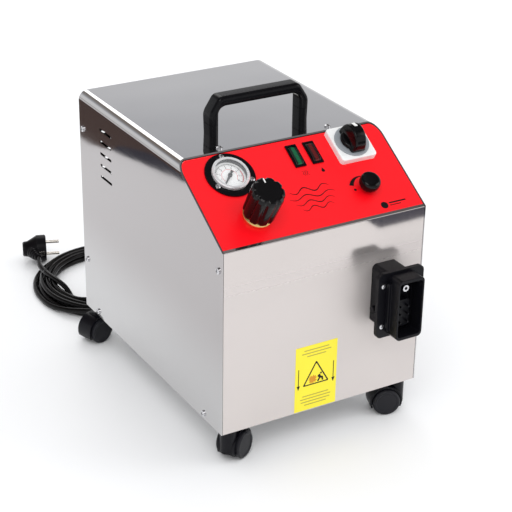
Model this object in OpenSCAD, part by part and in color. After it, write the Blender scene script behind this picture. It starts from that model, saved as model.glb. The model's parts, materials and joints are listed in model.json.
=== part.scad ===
// Steam cleaner: a stainless housing on four twin-wheel casters, with a
// sloping control panel, a steam outlet socket, a boiler, a water tank and
// a coiled mains lead behind it.
// Origin: on the floor, at the centre of the machine's footprint.
// +X is the machine's right seen from the front, +Y its rear, +Z up.

/* [Housing] */
// Width across the hood
body_w = 270; // [225:1:340]
// Depth from the front face to the rear face
body_l = 370; // [308:1:450]
// Height of the roof above the underside
body_h = 300; // [250:1:370]
// Height that the sloping panel rises
panel_rise = 69; // [66:1:90]
// Depth that the sloping panel takes
panel_run = 111; // [110:1:135]
// Thickness of the steel sheet
sheet = 1.2; // [1:0.1:2]
// Outer radius of the long roof edges
edge_r = 12; // [8:1:20]
// Seam between the hood and the panels inside it
seam = 0.6; // [0.3:0.1:1]
// Outer radius of the fold in the front panel
fold_r = 2.4; // [2.2:0.1:4]
// Gap between the underside and the floor
ride_h = 45; // [43:1:60]

/* [Side slots] */
// Number of slots on each side
slot_count = 5; // [3:1:7]
// Length of a slot
slot_len = 32; // [20:1:45]
// Width of a slot
slot_w = 3.6; // [2:0.1:6]
// Distance from one slot to the next
slot_pitch = 15.5; // [12:0.5:20]

/* [Handle] */
// Length over the handle's feet
handle_w = 134; // [110:1:160]
// Height of the handle above the roof
handle_h = 47; // [40:1:60]
// Depth of the handle, front to back
handle_d = 22; // [18:1:28]
// Distance from the roof's front edge to the handle's middle
handle_back = 51; // [30:1:90]

/* [Gauge] */
// Diameter of the gauge's mounting flange
gauge_flange_d = 60; // [54:1:66]
// Diameter of the gauge's case
gauge_case_d = 41; // [38:1:44]
// Distance from the panel's left edge to the gauge's middle
gauge_inset = 54.5; // [45:0.5:60]
// Distance from the fold to the gauge's middle, up the slope
gauge_u = 95.7; // [80:0.1:97]

/* [Steam knob] */
// Diameter over the steam knob's lobes
steam_knob_d = 39; // [32:1:44]
// Height of the steam knob
steam_knob_h = 42; // [30:1:50]
// Diameter of the brass collar under the steam knob
collar_d = 35; // [30:1:40]
// Distance from the panel's left edge to the steam knob's axis
steam_inset = 60.3; // [50:0.1:66]
// Distance from the fold to the steam knob's axis, up the slope
steam_u = 36; // [30:0.5:42]

/* [Lamps] */
// Width of a lamp's frame
lamp_w = 14.4; // [12:0.1:18]
// Length of a lamp's frame
lamp_l = 31.5; // [26:0.5:36]
// Distance between the two lamps
lamp_pitch = 23.5; // [20:0.5:28]
// Distance from the fold to the lamps' middle, up the slope
lamp_u = 102.7; // [90:0.1:106]

/* [Selector] */
// Side of the selector's square plate
selector_plate = 48; // [44:1:52]
// Diameter of the selector plate's raised dial
selector_disc_d = 43; // [38:1:44]
// Length of the selector knob's grip
selector_grip = 34; // [28:1:38]
// Distance from the panel's right edge to the selector's axis
selector_inset = 52; // [46:0.5:56]
// Distance from the fold to the selector's axis, up the slope
selector_u = 102; // [90:0.5:103]

/* [Small knob] */
// Diameter of the small knob
flow_knob_d = 25; // [20:1:28]
// Height of the small knob
flow_knob_h = 14; // [10:1:18]
// Distance from the panel's right edge to the small knob's axis
flow_inset = 60; // [50:0.5:66]
// Distance from the fold to the small knob's axis, up the slope
flow_u = 41.5; // [34:0.5:48]

/* [Steam socket] */
// Width of the socket's flange
socket_w = 63; // [58:1:70]
// Height of the socket's flange
socket_h = 83; // [78:1:90]
// How far the socket stands out of the front face
socket_reach = 49; // [42:1:56]
// Width of the shroud round the socket's mouth
shroud_w = 36; // [34:1:40]
// Height of the shroud round the socket's mouth
shroud_h = 77; // [72:1:78]
// Distance from the right edge to the socket's middle
socket_inset = 49.5; // [45:0.5:60]
// Height of the socket's middle above the underside
socket_z = 130.5; // [100:0.5:135]
// Diameter of the steam nozzle inside the socket
nozzle_d = 8; // [6:0.5:10]

/* [Casters] */
// Diameter of a caster wheel
wheel_d = 34; // [30:1:36]
// Width of one wheel
wheel_w = 11; // [9:0.5:13]
// Width of the web between the two wheels
caster_web = 8; // [7:0.5:10]
// Distance from the swivel axis to the axle
caster_trail = 14; // [12:0.5:17]
// Distance from the housing's side to a swivel axis
caster_inset_x = 17; // [16:1:26]
// Distance from the front or rear face to a swivel axis
caster_inset_y = 14; // [13:1:24]

/* [Boiler and tank] */
// Outer diameter of the boiler
boiler_d = 140; // [120:1:150]
// Space kept between the boiler's top and the roof
boiler_head = 95; // [90:1:120]
// Width of the water tank
tank_w = 88; // [70:1:92]
// Length of the water tank
tank_l = 150; // [130:1:180]
// Space kept between the tank's top and the roof
tank_head = 78; // [70:1:100]
// Outer diameter of the filler neck
neck_d = 38; // [32:1:39]
// Tilt of the filler neck from upright
neck_tilt = 55; // [54:1:66]
// Outer diameter of the drain spout
drain_d = 14; // [12:0.5:16]

/* [Mains lead] */
// Diameter of the mains lead
cord_d = 7.6; // [7:0.1:8.4]
// Inner radius of the coil
coil_r_in = 78; // [70:1:90]
// Width of the coil's winding
coil_w = 38; // [32:1:44]
// Height of the coil
coil_h = 15.4; // [13:0.1:18]
// Diameter of the plug's face
plug_d = 39; // [36:1:42]

/* [Hidden] */

$fn = 48;
eps = 0.01;

// Clearances: a shaft in its hole, a piece set in a cut-out, a moving face
shaft_gap = 0.05;
set_gap = 0.2;
run_gap = 0.4;

// Housing
front_h = body_h - panel_rise;
slope = atan2(panel_rise, panel_run);
panel_len = norm([panel_run, panel_rise]);
inner_w = body_w - 2 * (sheet + seam);
inner_h = body_h - sheet - seam;
inner_r = edge_r - sheet - seam;
flange_depth = 15;
tray_t = 2;
tray_lip = 14;
neck_len = 30;
cap_h = 14;
cap_d = neck_d + 9;
rear_reach = max((neck_len + 4) * sin(neck_tilt) + cap_d / 2 * cos(neck_tilt),
  (neck_len + 6) * sin(neck_tilt) + (cap_d / 2 - 2) * cos(neck_tilt));
y_front = -(socket_reach + body_l + rear_reach) / 2 + socket_reach;

// Screws: pan heads, M4 for the housing and M3 for the panel pieces
m4_r = 2;
m4_head_r = 3.8;
m4_head_h = 2.6;
m4_len = 8;
m3_r = 1.5;
m3_head_r = 2.9;
m3_head_h = 2;
m3_len = 7;
side_screws = [[8.5, 207 - 231 + front_h], [43, 7], [body_l - 39, 7],
  [body_l - 10, 71], [body_l - 10, body_h - 47]];
roof_screw_x = 73;
roof_screw_y = panel_run + 8;

// Handle
handle_y = panel_run + handle_back;
handle_leg = 12;
handle_shoulder = 27;
handle_top = handle_w - 20;
handle_screw_x = (handle_w - handle_leg) / 2 - 0.5;

// Control panel, measured from the fold up the slope
overlay_t = 0.5;
overlay_low = 3.5;
overlay_top = 2.5;
gauge_x = -body_w / 2 + gauge_inset;
steam_x = -body_w / 2 + steam_inset;
selector_x = body_w / 2 - selector_inset;
flow_x = body_w / 2 - flow_inset;
red_x = selector_x - 50.4;
green_x = red_x - lamp_pitch;
gauge_screw_r = 25.5;
gauge_screw_at = [90, 210, 330];
gauge_flange_t = 2;
gauge_depth = 28;
rim_t = 1.2;
bezel_w = 3.4;
bezel_h = 7;
needle_at = 225;
collar_h = 6;
stub_r = 8;
spindle_r = 3.5;
knob_gap = 1.2;
flutes = 9;
lamp_body_w = lamp_w - 2;
lamp_body_l = lamp_l - 3.5;
lamp_wall = 1.8;
lamp_depth = 22;
plate_h = 8;
plate_bevel = 2.5;
disc_h = 1.6;
knob_shaft_r = 4;
grip_w = 14;
grip_h = 21;
skirt_d = 30;
skirt_h = 5;
switch_w = 44;
switch_depth = 46;
pot_r = 8;
pot_shaft_r = 3;
pot_nut_r = 6.5;
pot_nut_h = 2.5;

// Steam socket
socket_x = body_w / 2 - socket_inset;
base_w = 34;
base_h = 75;
base_off = -5;
flange_t = 5;
flange_y = 23;
flange_r = 7;
shroud_r = 6;
shroud_side = 2.2;
shroud_end = 4;
shroud_len = socket_reach - flange_y - flange_t;
cavity_w = shroud_w - 2 * shroud_side;
cavity_h = shroud_h - 2 * shroud_end;
floor_y = 24;
socket_screw_x = 25;
socket_screw_z = 26;
nozzle_z = 22;
nozzle_len = 14;
nozzle_step = 1.5;
contact_w = 20;
contact_h = 34;

// Casters
wheel_r = wheel_d / 2;
axle_r = 2.5;
wheel_gap = 0.75;
caster_half = caster_web / 2 + wheel_gap + wheel_w;
fender_r = wheel_r + 3.2;
fender_half = caster_half - 4;
pocket_r = wheel_r + 1;
skirt_z = 9;
boss_r = 10;
boss_z = 12;
boss_top = ride_h - 2.5;
stem_r = 4;
stem_head = ride_h - 8;
caster_x = body_w / 2 - caster_inset_x;
caster_y0 = caster_inset_y;
caster_y1 = body_l - caster_inset_y;
angle_fl = 30;
angle_fr = 160;
angle_bl = 196;
angle_br = -16;

// Boiler, tank and what is fastened to them
boiler_r = boiler_d / 2;
boiler_t = 2;
boiler_x = -body_w / 2 + 14 + boiler_r;
boiler_y = body_l - 22 - boiler_r;
boiler_foot = 22;
boiler_z0 = tray_t + boiler_foot;
boiler_z1 = body_h - boiler_head;
feed_z = 60;
tank_t = 2.5;
tank_x1 = body_w / 2 - 8;
tank_x0 = tank_x1 - tank_w;
tank_y1 = body_l - 24;
tank_y0 = tank_y1 - tank_l;
tank_z0 = tray_t;
tank_z1 = body_h - tank_head;
neck_x = (tank_x0 + tank_x1) / 2;
neck_z = body_h - 52;
neck_bore = neck_d / 2 - 3;
neck_in = 60;
neck_plate_w = 62;
neck_plate_h = 78;
neck_plate_t = 3;
gasket_t = 2.5;
drain_x = boiler_x + 8;
drain_z = 26;
drain_reach = 24;
lever_len = 26;
lever_t = 4;
valve_drop = 34;
valve_port = 22;
valve_y = steam_u * cos(slope) + valve_drop * sin(slope);
valve_z = front_h + steam_u * sin(slope) - valve_drop * cos(slope);
pipe_r = 4;
solenoid_x = socket_x - 6;
solenoid_y = valve_y;
solenoid_front = 14;
pump_y = 74;
board_x = -body_w / 2 + 24;
board_off = 24 - sheet;

// Mains lead: where it leaves the rear panel and where its coil lies
// In x from the left side plus 135, in y from the rear face, in z from the floor
gland_x = 30;
gland_z = 85;
gland_reach = 28;
coil_x = -40;
coil_y = 118;
plug_x = -94;
plug_y = 236;
plug_turn = -20;
plug_depth = 15;
coil_r_out = coil_r_in + coil_w;
cord_sides = 10;
lead_path = [[30, 28, 85], [30, 41, 84], [26, 53, 81], [17, 61, 75], [5, 65, 67],
  [-9, 65, 58], [-23, 62, 49], [-37, 58, 41], [-51, 55, 33], [-65, 53, 26],
  [-79, 55, 20], [-91, 61, 16], [-103, 67, 13], [-113, 76, 11]];
tail_path = [[-117, 209, 19.5], [-123, 193, 19.5], [-126, 178, 19.4], [-126, 163, 19.4],
  [-125, 148, 19.4], [-123, 134, 19], [-120, 121, 17.5], [-117, 109, 14], [-115, 97, 10]];
relief_end = tail_path[0];
relief_from = [plug_x - 26 * cos(plug_turn), plug_y - 26 * sin(plug_turn)];
relief_turn = atan2(relief_from[0] - relief_end[0], relief_end[1] - relief_from[1]) + 180;
relief_len = norm([relief_from[0] - relief_end[0], relief_from[1] - relief_end[1]]);

// ---------------------------------------------------------------- helpers

module at_body() translate([0, y_front, ride_h]) children();

module on_panel(x, u)
  at_body() translate([x, 0, front_h]) rotate([slope, 0, 0]) translate([0, u, 0]) children();

module behind_body() translate([135 - body_w / 2, y_front + body_l, 0]) children();

// Turns a shape drawn along +Z so that it runs along -Y, out of the front
module out_front() rotate([90, 0, 0]) children();

// Turns a shape drawn along +Z so that it runs along +Y, out of the rear
module out_rear() rotate([-90, 0, 0]) children();

module box(x0, x1, y0, y1, z0, z1) translate([x0, y0, z0]) cube([x1 - x0, y1 - y0, z1 - z0]);

module tube(r_out, r_in, h) difference() {
  cylinder(r = r_out, h = h);
  translate([0, 0, -1]) cylinder(r = r_in, h = h + 2);
}

module round_rect(w, h, r) {
  square([w - 2 * r, h], center = true);
  square([w, h - 2 * r], center = true);
  for (sx = [-1, 1], sy = [-1, 1]) translate([sx * (w / 2 - r), sy * (h / 2 - r)]) circle(r);
}

module arch(w, h, r) {
  translate([-w / 2, 0]) square([w, h - r]);
  translate([-w / 2 + r, h - r - eps]) square([w - 2 * r, r + eps]);
  for (s = [-1, 1]) translate([s * (w / 2 - r), h - r]) circle(r);
}

module arch_prism(w, h, r, y0, y1)
  translate([0, y1, 0]) rotate([90, 0, 0]) linear_extrude(y1 - y0) arch(w, h, r);

// Extrudes a (y, z) outline across the machine
module across(w) rotate([90, 0, 90]) translate([0, 0, -w / 2]) linear_extrude(w) children();

module pan_screw(r, head_r, head_h, len) {
  translate([0, 0, -len]) cylinder(r = r, h = len);
  difference() {
    intersection() {
      cylinder(r = head_r, h = head_h);
      translate([0, 0, head_h - 2 * head_r]) sphere(r = 2 * head_r);
    }
    translate([0, 0, head_h - 1]) cube([head_r * 1.2, 0.9, 3], center = true);
    translate([0, 0, head_h - 1]) cube([0.9, head_r * 1.2, 3], center = true);
  }
}

module side_screw_places() at_body()
  for (s = [-1, 1], p = side_screws)
    translate([s * body_w / 2, p[0], p[1]]) rotate([0, s * 90, 0]) children();

module roof_screw_places() at_body()
  for (s = [-1, 1]) translate([s * roof_screw_x, roof_screw_y, body_h]) children();

module handle_screw_places() at_body()
  for (s = [-1, 1]) translate([s * handle_screw_x, handle_y, body_h - sheet]) rotate([180, 0, 0]) children();

module gauge_screw_places() on_panel(gauge_x, gauge_u)
  for (a = gauge_screw_at) rotate([0, 0, a])
    translate([gauge_screw_r, 0, overlay_t + gauge_flange_t]) children();

module socket_screw_places() at_body() translate([socket_x, -flange_y - flange_t, socket_z])
  for (sx = [-1, 1], sz = [-1, 1])
    translate([sx * socket_screw_x, 0, sz * socket_screw_z]) out_front() children();

module screw_hole(r, depth = 12) translate([0, 0, -depth]) cylinder(r = r + shaft_gap, h = depth + 4);

// ---------------------------------------------------------------- housing

module side_slots() at_body()
  for (s = [-1, 1], i = [0 : slot_count - 1])
    translate([s * body_w / 2, body_l - 92, body_h - 31 - i * slot_pitch]) rotate([0, s * 90, 0]) {
      for (e = [0, 1]) translate([0, slot_w / 2 + e * (slot_len - slot_w), -4]) cylinder(d = slot_w, h = 8);
      translate([-slot_w / 2, slot_w / 2, -4]) cube([slot_w, slot_len - slot_w, 8]);
    }

module body_outline()
  polygon([[0, 0], [0, front_h], [panel_run, body_h], [body_l, body_h], [body_l, 0]]);

module hood() color("gainsboro") difference() {
  at_body() difference() {
    intersection() {
      arch_prism(body_w, body_h, edge_r, 0, body_l);
      across(body_w + 2) body_outline();
    }
    translate([0, 0, -1])
      arch_prism(body_w - 2 * sheet, body_h - sheet + 1, edge_r - sheet, -1, body_l + 1);
  }
  side_slots();
  side_screw_places() screw_hole(m4_r);
  roof_screw_places() screw_hole(m4_r);
  handle_screw_places() screw_hole(m4_r);
}

// Everything behind the front face and the slope, set back by t, with the fold rounded
module behind_front(t, r) {
  z = front_h + (t * sin(slope) - t) / cos(slope);
  top = [t + (body_h - z) / tan(slope), body_h];
  lead = r * tan((90 - slope) / 2);
  centre = [t + r, z - lead];
  difference() {
    polygon([[t, 0], [t, z], top, [body_l, body_h], [body_l, 0]]);
    difference() {
      polygon([[t, z - lead], [t, z], [t + lead * cos(slope), z + lead * sin(slope)], centre]);
      translate(centre) circle(r);
    }
  }
}

module front_panel() color("whitesmoke") difference() {
  at_body() {
    intersection() {
      arch_prism(inner_w, inner_h, inner_r, -1, panel_run + 4);
      across(body_w) difference() {
        behind_front(0, fold_r);
        behind_front(sheet, fold_r - sheet);
      }
    }
    for (s = [0, 1]) mirror([s, 0, 0])
      box(inner_w / 2 - sheet, inner_w / 2, sheet / 2, flange_depth, tray_lip + 3, front_h - 6);
    box(-inner_w / 2 + edge_r, inner_w / 2 - edge_r, panel_run - 2.6, panel_run + flange_depth,
      inner_h - sheet, inner_h);
  }
  side_screw_places() screw_hole(m4_r);
  roof_screw_places() screw_hole(m4_r);
  gauge_screw_places() screw_hole(m3_r);
  panel_cutouts(set_gap);
  at_body() translate([socket_x + base_off, 0, socket_z])
    cube([base_w - 8, 8 * sheet, base_h - 8], center = true);
}

// The cut-outs that the panel and its overlay share, each wider than its piece by gap
module panel_cutouts(gap) {
  on_panel(gauge_x, gauge_u) translate([0, 0, -5]) cylinder(d = gauge_case_d + 2 * gap, h = 10);
  on_panel(steam_x, steam_u) translate([0, 0, -5]) cylinder(r = stub_r + gap, h = 10);
  for (x = [green_x, red_x]) on_panel(x, lamp_u)
    cube([lamp_body_w + 2 * gap, lamp_body_l + 2 * gap, 10], center = true);
  on_panel(selector_x, selector_u) translate([0, 0, -5]) cylinder(r = knob_shaft_r + 3, h = 10);
  on_panel(flow_x, flow_u) translate([0, 0, -5]) cylinder(r = pot_shaft_r + 1.5 + gap, h = 10);
}

module rear_panel() color("gainsboro") difference() {
  at_body() {
    arch_prism(inner_w, inner_h, inner_r, body_l - sheet, body_l);
    for (s = [0, 1]) mirror([s, 0, 0])
      box(inner_w / 2 - sheet, inner_w / 2, body_l - flange_depth, body_l - sheet / 2,
        tray_lip + 3, inner_h - edge_r);
    box(-inner_w / 2 + edge_r, inner_w / 2 - edge_r, body_l - flange_depth, body_l - sheet / 2,
      inner_h - sheet, inner_h);
  }
  side_screw_places() screw_hole(m4_r);
  behind_body() translate([gland_x, -5, gland_z]) out_rear() cylinder(r = 8 + shaft_gap, h = 10);
  at_body() {
    translate([drain_x, body_l - 5, drain_z]) out_rear() cylinder(r = drain_d / 2 + 1 + set_gap, h = 10);
    translate([neck_x, body_l, neck_z]) cube([neck_plate_w - 14, 10, neck_plate_h - 14], center = true);
    for (i = [0 : 5], s = [-1, 1])
      translate([-body_w / 4 + s * 30, body_l, body_h - 60 - i * 12]) cube([44, 10, 3.6], center = true);
  }
}

module base_tray() color("silver") difference() {
  at_body() {
    y0 = sheet + seam;
    y1 = body_l - sheet - seam;
    box(-inner_w / 2, inner_w / 2, y0, y1, 0, tray_t);
    for (s = [0, 1]) mirror([s, 0, 0]) box(inner_w / 2 - tray_t, inner_w / 2, y0, y1, 0, tray_lip);
    box(-inner_w / 2, inner_w / 2, y0, y0 + tray_t, 0, tray_lip);
    box(-inner_w / 2, inner_w / 2, y1 - tray_t, y1, 0, tray_lip);
  }
  side_screw_places() screw_hole(m4_r);
  stem_places() translate([0, 0, ride_h - 1]) cylinder(r = stem_r + shaft_gap, h = 6);
}

module control_overlay() color("red") difference() {
  intersection() {
    at_body() arch_prism(inner_w - 1, inner_h, inner_r, -4, panel_run + 4);
    on_panel(0, 0) translate([-body_w / 2, overlay_low, 0])
      cube([body_w, panel_len - overlay_low - overlay_top, overlay_t]);
  }
  panel_cutouts(set_gap);
  gauge_screw_places() screw_hole(m3_r);
}

module warning_label() color("yellow")
  at_body() translate([-9 - 28.5, -0.3, 1]) cube([57, 0.3 - eps, 86]);

module housing_screws() color("silver") {
  side_screw_places() pan_screw(m4_r, m4_head_r, m4_head_h, m4_len);
  roof_screw_places() pan_screw(m4_r, m4_head_r, m4_head_h, m4_len);
  handle_screw_places() pan_screw(m4_r, m4_head_r, m4_head_h, 12);
}

// The handle: a bridge with upright legs, sloping shoulders and a rounded grip
module carry_handle() color("black") difference() {
  at_body() translate([0, handle_y, body_h]) intersection() {
    translate([0, handle_d / 2, 0]) rotate([90, 0, 0]) linear_extrude(handle_d) difference() {
      polygon([[-handle_w / 2 + 1, 0], [-handle_w / 2, handle_shoulder / 2], [-handle_w / 2, handle_shoulder],
        [-handle_top / 2 + 3, handle_h], [handle_top / 2 - 3, handle_h], [handle_w / 2, handle_shoulder],
        [handle_w / 2, handle_shoulder / 2], [handle_w / 2 - 1, 0]]);
      polygon([[-handle_w / 2 + handle_leg, -1], [-handle_w / 2 + handle_leg, handle_h - 17],
        [-handle_w / 2 + handle_leg + 6, handle_h - 12], [handle_w / 2 - handle_leg - 6, handle_h - 12],
        [handle_w / 2 - handle_leg, handle_h - 17], [handle_w / 2 - handle_leg, -1]]);
    }
    across(handle_w + 2) translate([0, handle_h / 2]) round_rect(handle_d, handle_h, 5.5);
    translate([0, 0, handle_h / 2]) linear_extrude(handle_h + 2, center = true)
      round_rect(handle_w, handle_d, 5);
  }
  handle_screw_places() screw_hole(m4_r, 12.2);
}

// ---------------------------------------------------------------- steam socket

module socket_housing() color("black") difference() {
  at_body() translate([socket_x, 0, socket_z]) {
    translate([base_off, 0, 4]) out_front() linear_extrude(flange_y + eps) round_rect(base_w, base_h, 6);
    translate([0, -flange_y, 0]) out_front() linear_extrude(flange_t) round_rect(socket_w, socket_h, flange_r);
    translate([base_off - base_w / 2 + 1, -9, -12]) rotate([0, -90, 0]) cylinder(r = 4, h = 5);
  }
  at_body() translate([socket_x, -floor_y, socket_z]) out_front() linear_extrude(40)
    round_rect(cavity_w - 2, cavity_h - 2, 3);
  socket_screw_places() screw_hole(m3_r);
  at_body() translate([socket_x, 1, socket_z + nozzle_z]) out_front()
    cylinder(r = nozzle_d / 2 + nozzle_step + shaft_gap, h = 40);
}

module socket_shroud() color("black")
  at_body() translate([socket_x, -flange_y - flange_t, socket_z]) {
    out_front() linear_extrude(shroud_len) difference() {
      round_rect(shroud_w, shroud_h, shroud_r);
      round_rect(cavity_w, cavity_h, shroud_r - shroud_side);
    }
    for (s = [-1, 1]) translate([s * (shroud_w / 2 - 0.5), -5, 0])
      box(min(0, s * 4), max(0, s * 4), -2, 5, -shroud_h / 2 + 8, shroud_h / 2 - 8);
  }

module socket_contacts() {
  at_body() translate([socket_x, -floor_y, socket_z - 12]) {
    color("dimgray") out_front() linear_extrude(9) round_rect(contact_w, contact_h, 3);
    color("goldenrod") for (i = [-1, 1], j = [-1, 0, 1])
      translate([i * 5, -8.9, j * 10]) out_front() cylinder(d = 2.4, h = 6);
  }
}

// The steam nozzle: a stepped tube from the solenoid valve into the socket
module steam_nozzle() color("silver")
  at_body() translate([socket_x, solenoid_y - solenoid_front, socket_z + nozzle_z]) out_front() {
    inside = solenoid_y - solenoid_front + floor_y;
    tube(nozzle_d / 2 + nozzle_step, nozzle_d / 4, inside);
    translate([0, 0, inside - eps]) tube(nozzle_d / 2, nozzle_d / 4, nozzle_len + eps);
  }

module flange_screws() color("silver") {
  gauge_screw_places() pan_screw(m3_r, m3_head_r, m3_head_h, m3_len);
  socket_screw_places() pan_screw(m3_r, m3_head_r, m3_head_h, m3_len - 2.5);
}

// ---------------------------------------------------------------- gauge

case_r = gauge_case_d / 2;
rim_z = 4.4;
lens_z = rim_z + 0.05;

module gauge_case() color("black") on_panel(gauge_x, gauge_u) difference() {
  union() {
    translate([0, 0, -gauge_depth]) cylinder(r = case_r, h = gauge_depth + rim_z);
    translate([0, 0, overlay_t]) cylinder(d = gauge_flange_d, h = gauge_flange_t);
    translate([0, 0, -gauge_depth - 12]) cylinder(r = 5, h = 13);
  }
  translate([0, 0, -2]) cylinder(r = case_r - rim_t, h = 20);
  translate([0, 0, -gauge_depth + 2]) cylinder(r = case_r - rim_t - 1, h = gauge_depth);
  for (a = gauge_screw_at) rotate([0, 0, a])
    translate([gauge_screw_r, 0, -2]) cylinder(r = m3_r + shaft_gap, h = 10);
}

module gauge_bezel() color("silver") on_panel(gauge_x, gauge_u)
  rotate_extrude($fn = 96) polygon([[case_r + 0.05, overlay_t + gauge_flange_t + 0.02],
    [case_r + bezel_w / 2, overlay_t + gauge_flange_t + 0.02], [case_r + bezel_w / 2, bezel_h - 1.2],
    [case_r + bezel_w / 2 - 1, bezel_h], [case_r - bezel_w / 2 + 0.4, bezel_h - 0.2],
    [case_r - bezel_w / 2, bezel_h - 1.2], [case_r + 0.05, bezel_h - 1.2]]);

module gauge_dial() color("white") on_panel(gauge_x, gauge_u) difference() {
  translate([0, 0, -1.95]) cylinder(r = case_r - rim_t - 0.05, h = 1.15);
  translate([0, 0, -3]) cylinder(r = 1.1 + shaft_gap, h = 4);
}

module gauge_needle() color("black") on_panel(gauge_x, gauge_u) {
  translate([0, 0, -6]) cylinder(r = 1.1, h = 9);
  translate([0, 0, 0.6]) cylinder(r = 2.4, h = 2);
  rotate([0, 0, needle_at]) translate([0, 0, 0.8]) linear_extrude(0.7)
    polygon([[-7.5, -1.3], [-7.5, 1.3], [0, 0.9], [14, 0.35], [14, -0.35], [0, -0.9]]);
}

module gauge_lens() color("lightblue", 0.4) on_panel(gauge_x, gauge_u)
  translate([0, 0, lens_z]) cylinder(r = case_r - 0.1, h = 1.2);

// ---------------------------------------------------------------- steam valve

knob_z = overlay_t + collar_h + knob_gap;

module valve_body() color("goldenrod") on_panel(steam_x, steam_u) difference() {
  union() {
    translate([0, 0, -46]) cylinder(r = 14, h = 46 - sheet - 0.05, $fn = 6);
    translate([0, 0, -10]) cylinder(r = stub_r, h = 10 + overlay_t + collar_h - 0.5);
    translate([0, 0, -valve_drop]) rotate([0, 90, 0]) cylinder(r = 6, h = valve_port);
    translate([0, 0, -valve_drop]) rotate([-90 - slope, 0, 0]) cylinder(r = 6, h = valve_port);
  }
  translate([0, 0, -30]) cylinder(r = spindle_r + shaft_gap, h = 60);
}

module valve_collar() color("gold") on_panel(steam_x, steam_u)
  rotate_extrude($fn = 96) polygon([[stub_r + shaft_gap, overlay_t], [collar_d / 2, overlay_t],
    [collar_d / 2, overlay_t + collar_h - 2], [collar_d / 2 - 2, overlay_t + collar_h],
    [stub_r + shaft_gap, overlay_t + collar_h]]);

module valve_spindle() color("silver") on_panel(steam_x, steam_u)
  translate([0, 0, -24]) cylinder(r = spindle_r, h = 24 + knob_z + steam_knob_h * 0.6);

module steam_knob() color("black") on_panel(steam_x, steam_u) difference() {
  r = steam_knob_d / 2;
  rotate_extrude($fn = 96) polygon([[0, knob_z], [r - 2.2, knob_z], [r - 1.2, knob_z + 2],
    [r, knob_z + steam_knob_h - 5], [r - 0.6, knob_z + steam_knob_h - 2.4],
    [r - 2.6, knob_z + steam_knob_h - 0.6], [r - 5, knob_z + steam_knob_h], [0, knob_z + steam_knob_h]]);
  for (i = [0 : flutes - 1]) rotate([0, 0, i * 360 / flutes])
    translate([r + 1.6, 0, knob_z - 1]) cylinder(r = 3.6, h = steam_knob_h + 2);
  translate([0, 0, knob_z - 1]) cylinder(r = spindle_r + shaft_gap, h = 1.2 + steam_knob_h * 0.6);
}

// ---------------------------------------------------------------- lamps

module lamp_bezels() color("black") for (x = [green_x, red_x]) on_panel(x, lamp_u) difference() {
  union() {
    translate([0, 0, overlay_t]) linear_extrude(1.8) square([lamp_w, lamp_l], center = true);
    translate([0, 0, -lamp_depth]) linear_extrude(lamp_depth + overlay_t + eps)
      square([lamp_body_w, lamp_body_l], center = true);
  }
  translate([0, 0, -3]) linear_extrude(20)
    square([lamp_body_w - lamp_wall, lamp_body_l - lamp_wall], center = true);
}

module lamp_lens(x) on_panel(x, lamp_u) {
  w = lamp_body_w - lamp_wall - 2 * set_gap;
  l = lamp_body_l - lamp_wall - 2 * set_gap;
  translate([-w / 2, 0, 0]) rotate([90, 0, 90]) linear_extrude(w)
    polygon([[-l / 2, -2.95], [l / 2, -2.95], [l / 2, 1.8], [l / 2 - 3, 3.4],
      [-l / 2 + 3, 3.4], [-l / 2, 1.8]]);
}

module green_lens() color("green") lamp_lens(green_x);
module red_lens() color("darkred") lamp_lens(red_x);

// ---------------------------------------------------------------- selector

module bevel_bar(w, h, t, b, l) translate([0, l / 2, 0]) rotate([90, 0, 0]) linear_extrude(l)
  polygon([[-w / 2, 0], [w / 2, 0], [w / 2, t - h], [w / 2 - b, t], [-w / 2 + b, t], [-w / 2, t - h]]);

module selector_plate() color("white") on_panel(selector_x, selector_u) difference() {
  union() {
    translate([0, 0, overlay_t]) intersection() {
      bevel_bar(selector_plate, 4, plate_h, plate_bevel, selector_plate);
      rotate([0, 0, 90]) bevel_bar(selector_plate, 4, plate_h, plate_bevel, selector_plate);
      linear_extrude(plate_h) round_rect(selector_plate, selector_plate, 4);
    }
    translate([0, 0, overlay_t + plate_h - 1]) cylinder(d = selector_disc_d, h = disc_h + 1);
  }
  translate([0, 0, overlay_t - 1]) cylinder(r = knob_shaft_r + shaft_gap, h = plate_h + 4);
}

selector_z = overlay_t + plate_h + disc_h + run_gap;

module selector_knob() color("black") on_panel(selector_x, selector_u) {
  translate([0, 0, selector_z]) {
    rotate_extrude($fn = 96) polygon([[0, 0], [skirt_d / 2, 0], [skirt_d / 2, skirt_h - 2],
      [skirt_d / 2 - 3, skirt_h], [0, skirt_h]]);
    intersection() {
      translate([0, 0, grip_h / 2]) linear_extrude(grip_h, center = true)
        round_rect(grip_w, selector_grip, grip_w / 2 - 0.5);
      rotate([90, 0, 0]) linear_extrude(selector_grip + 2, center = true)
        translate([0, grip_h / 2]) round_rect(grip_w + 4, grip_h, 4);
      rotate([90, 0, 90]) linear_extrude(grip_w + 2, center = true)
        translate([0, grip_h / 2]) round_rect(selector_grip, grip_h, 5);
    }
  }
  translate([0, 0, -sheet - 4]) cylinder(r = knob_shaft_r, h = selector_z + sheet + 5);
}

module selector_switch() color("dimgray") on_panel(selector_x, selector_u) difference() {
  translate([0, 0, -sheet - 0.05 - switch_depth]) linear_extrude(switch_depth)
    round_rect(switch_w, switch_w, 3);
  translate([0, 0, -sheet - 5]) cylinder(r = knob_shaft_r + shaft_gap, h = 10);
}

// ---------------------------------------------------------------- small knob

flow_z = overlay_t + pot_nut_h + run_gap;

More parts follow.
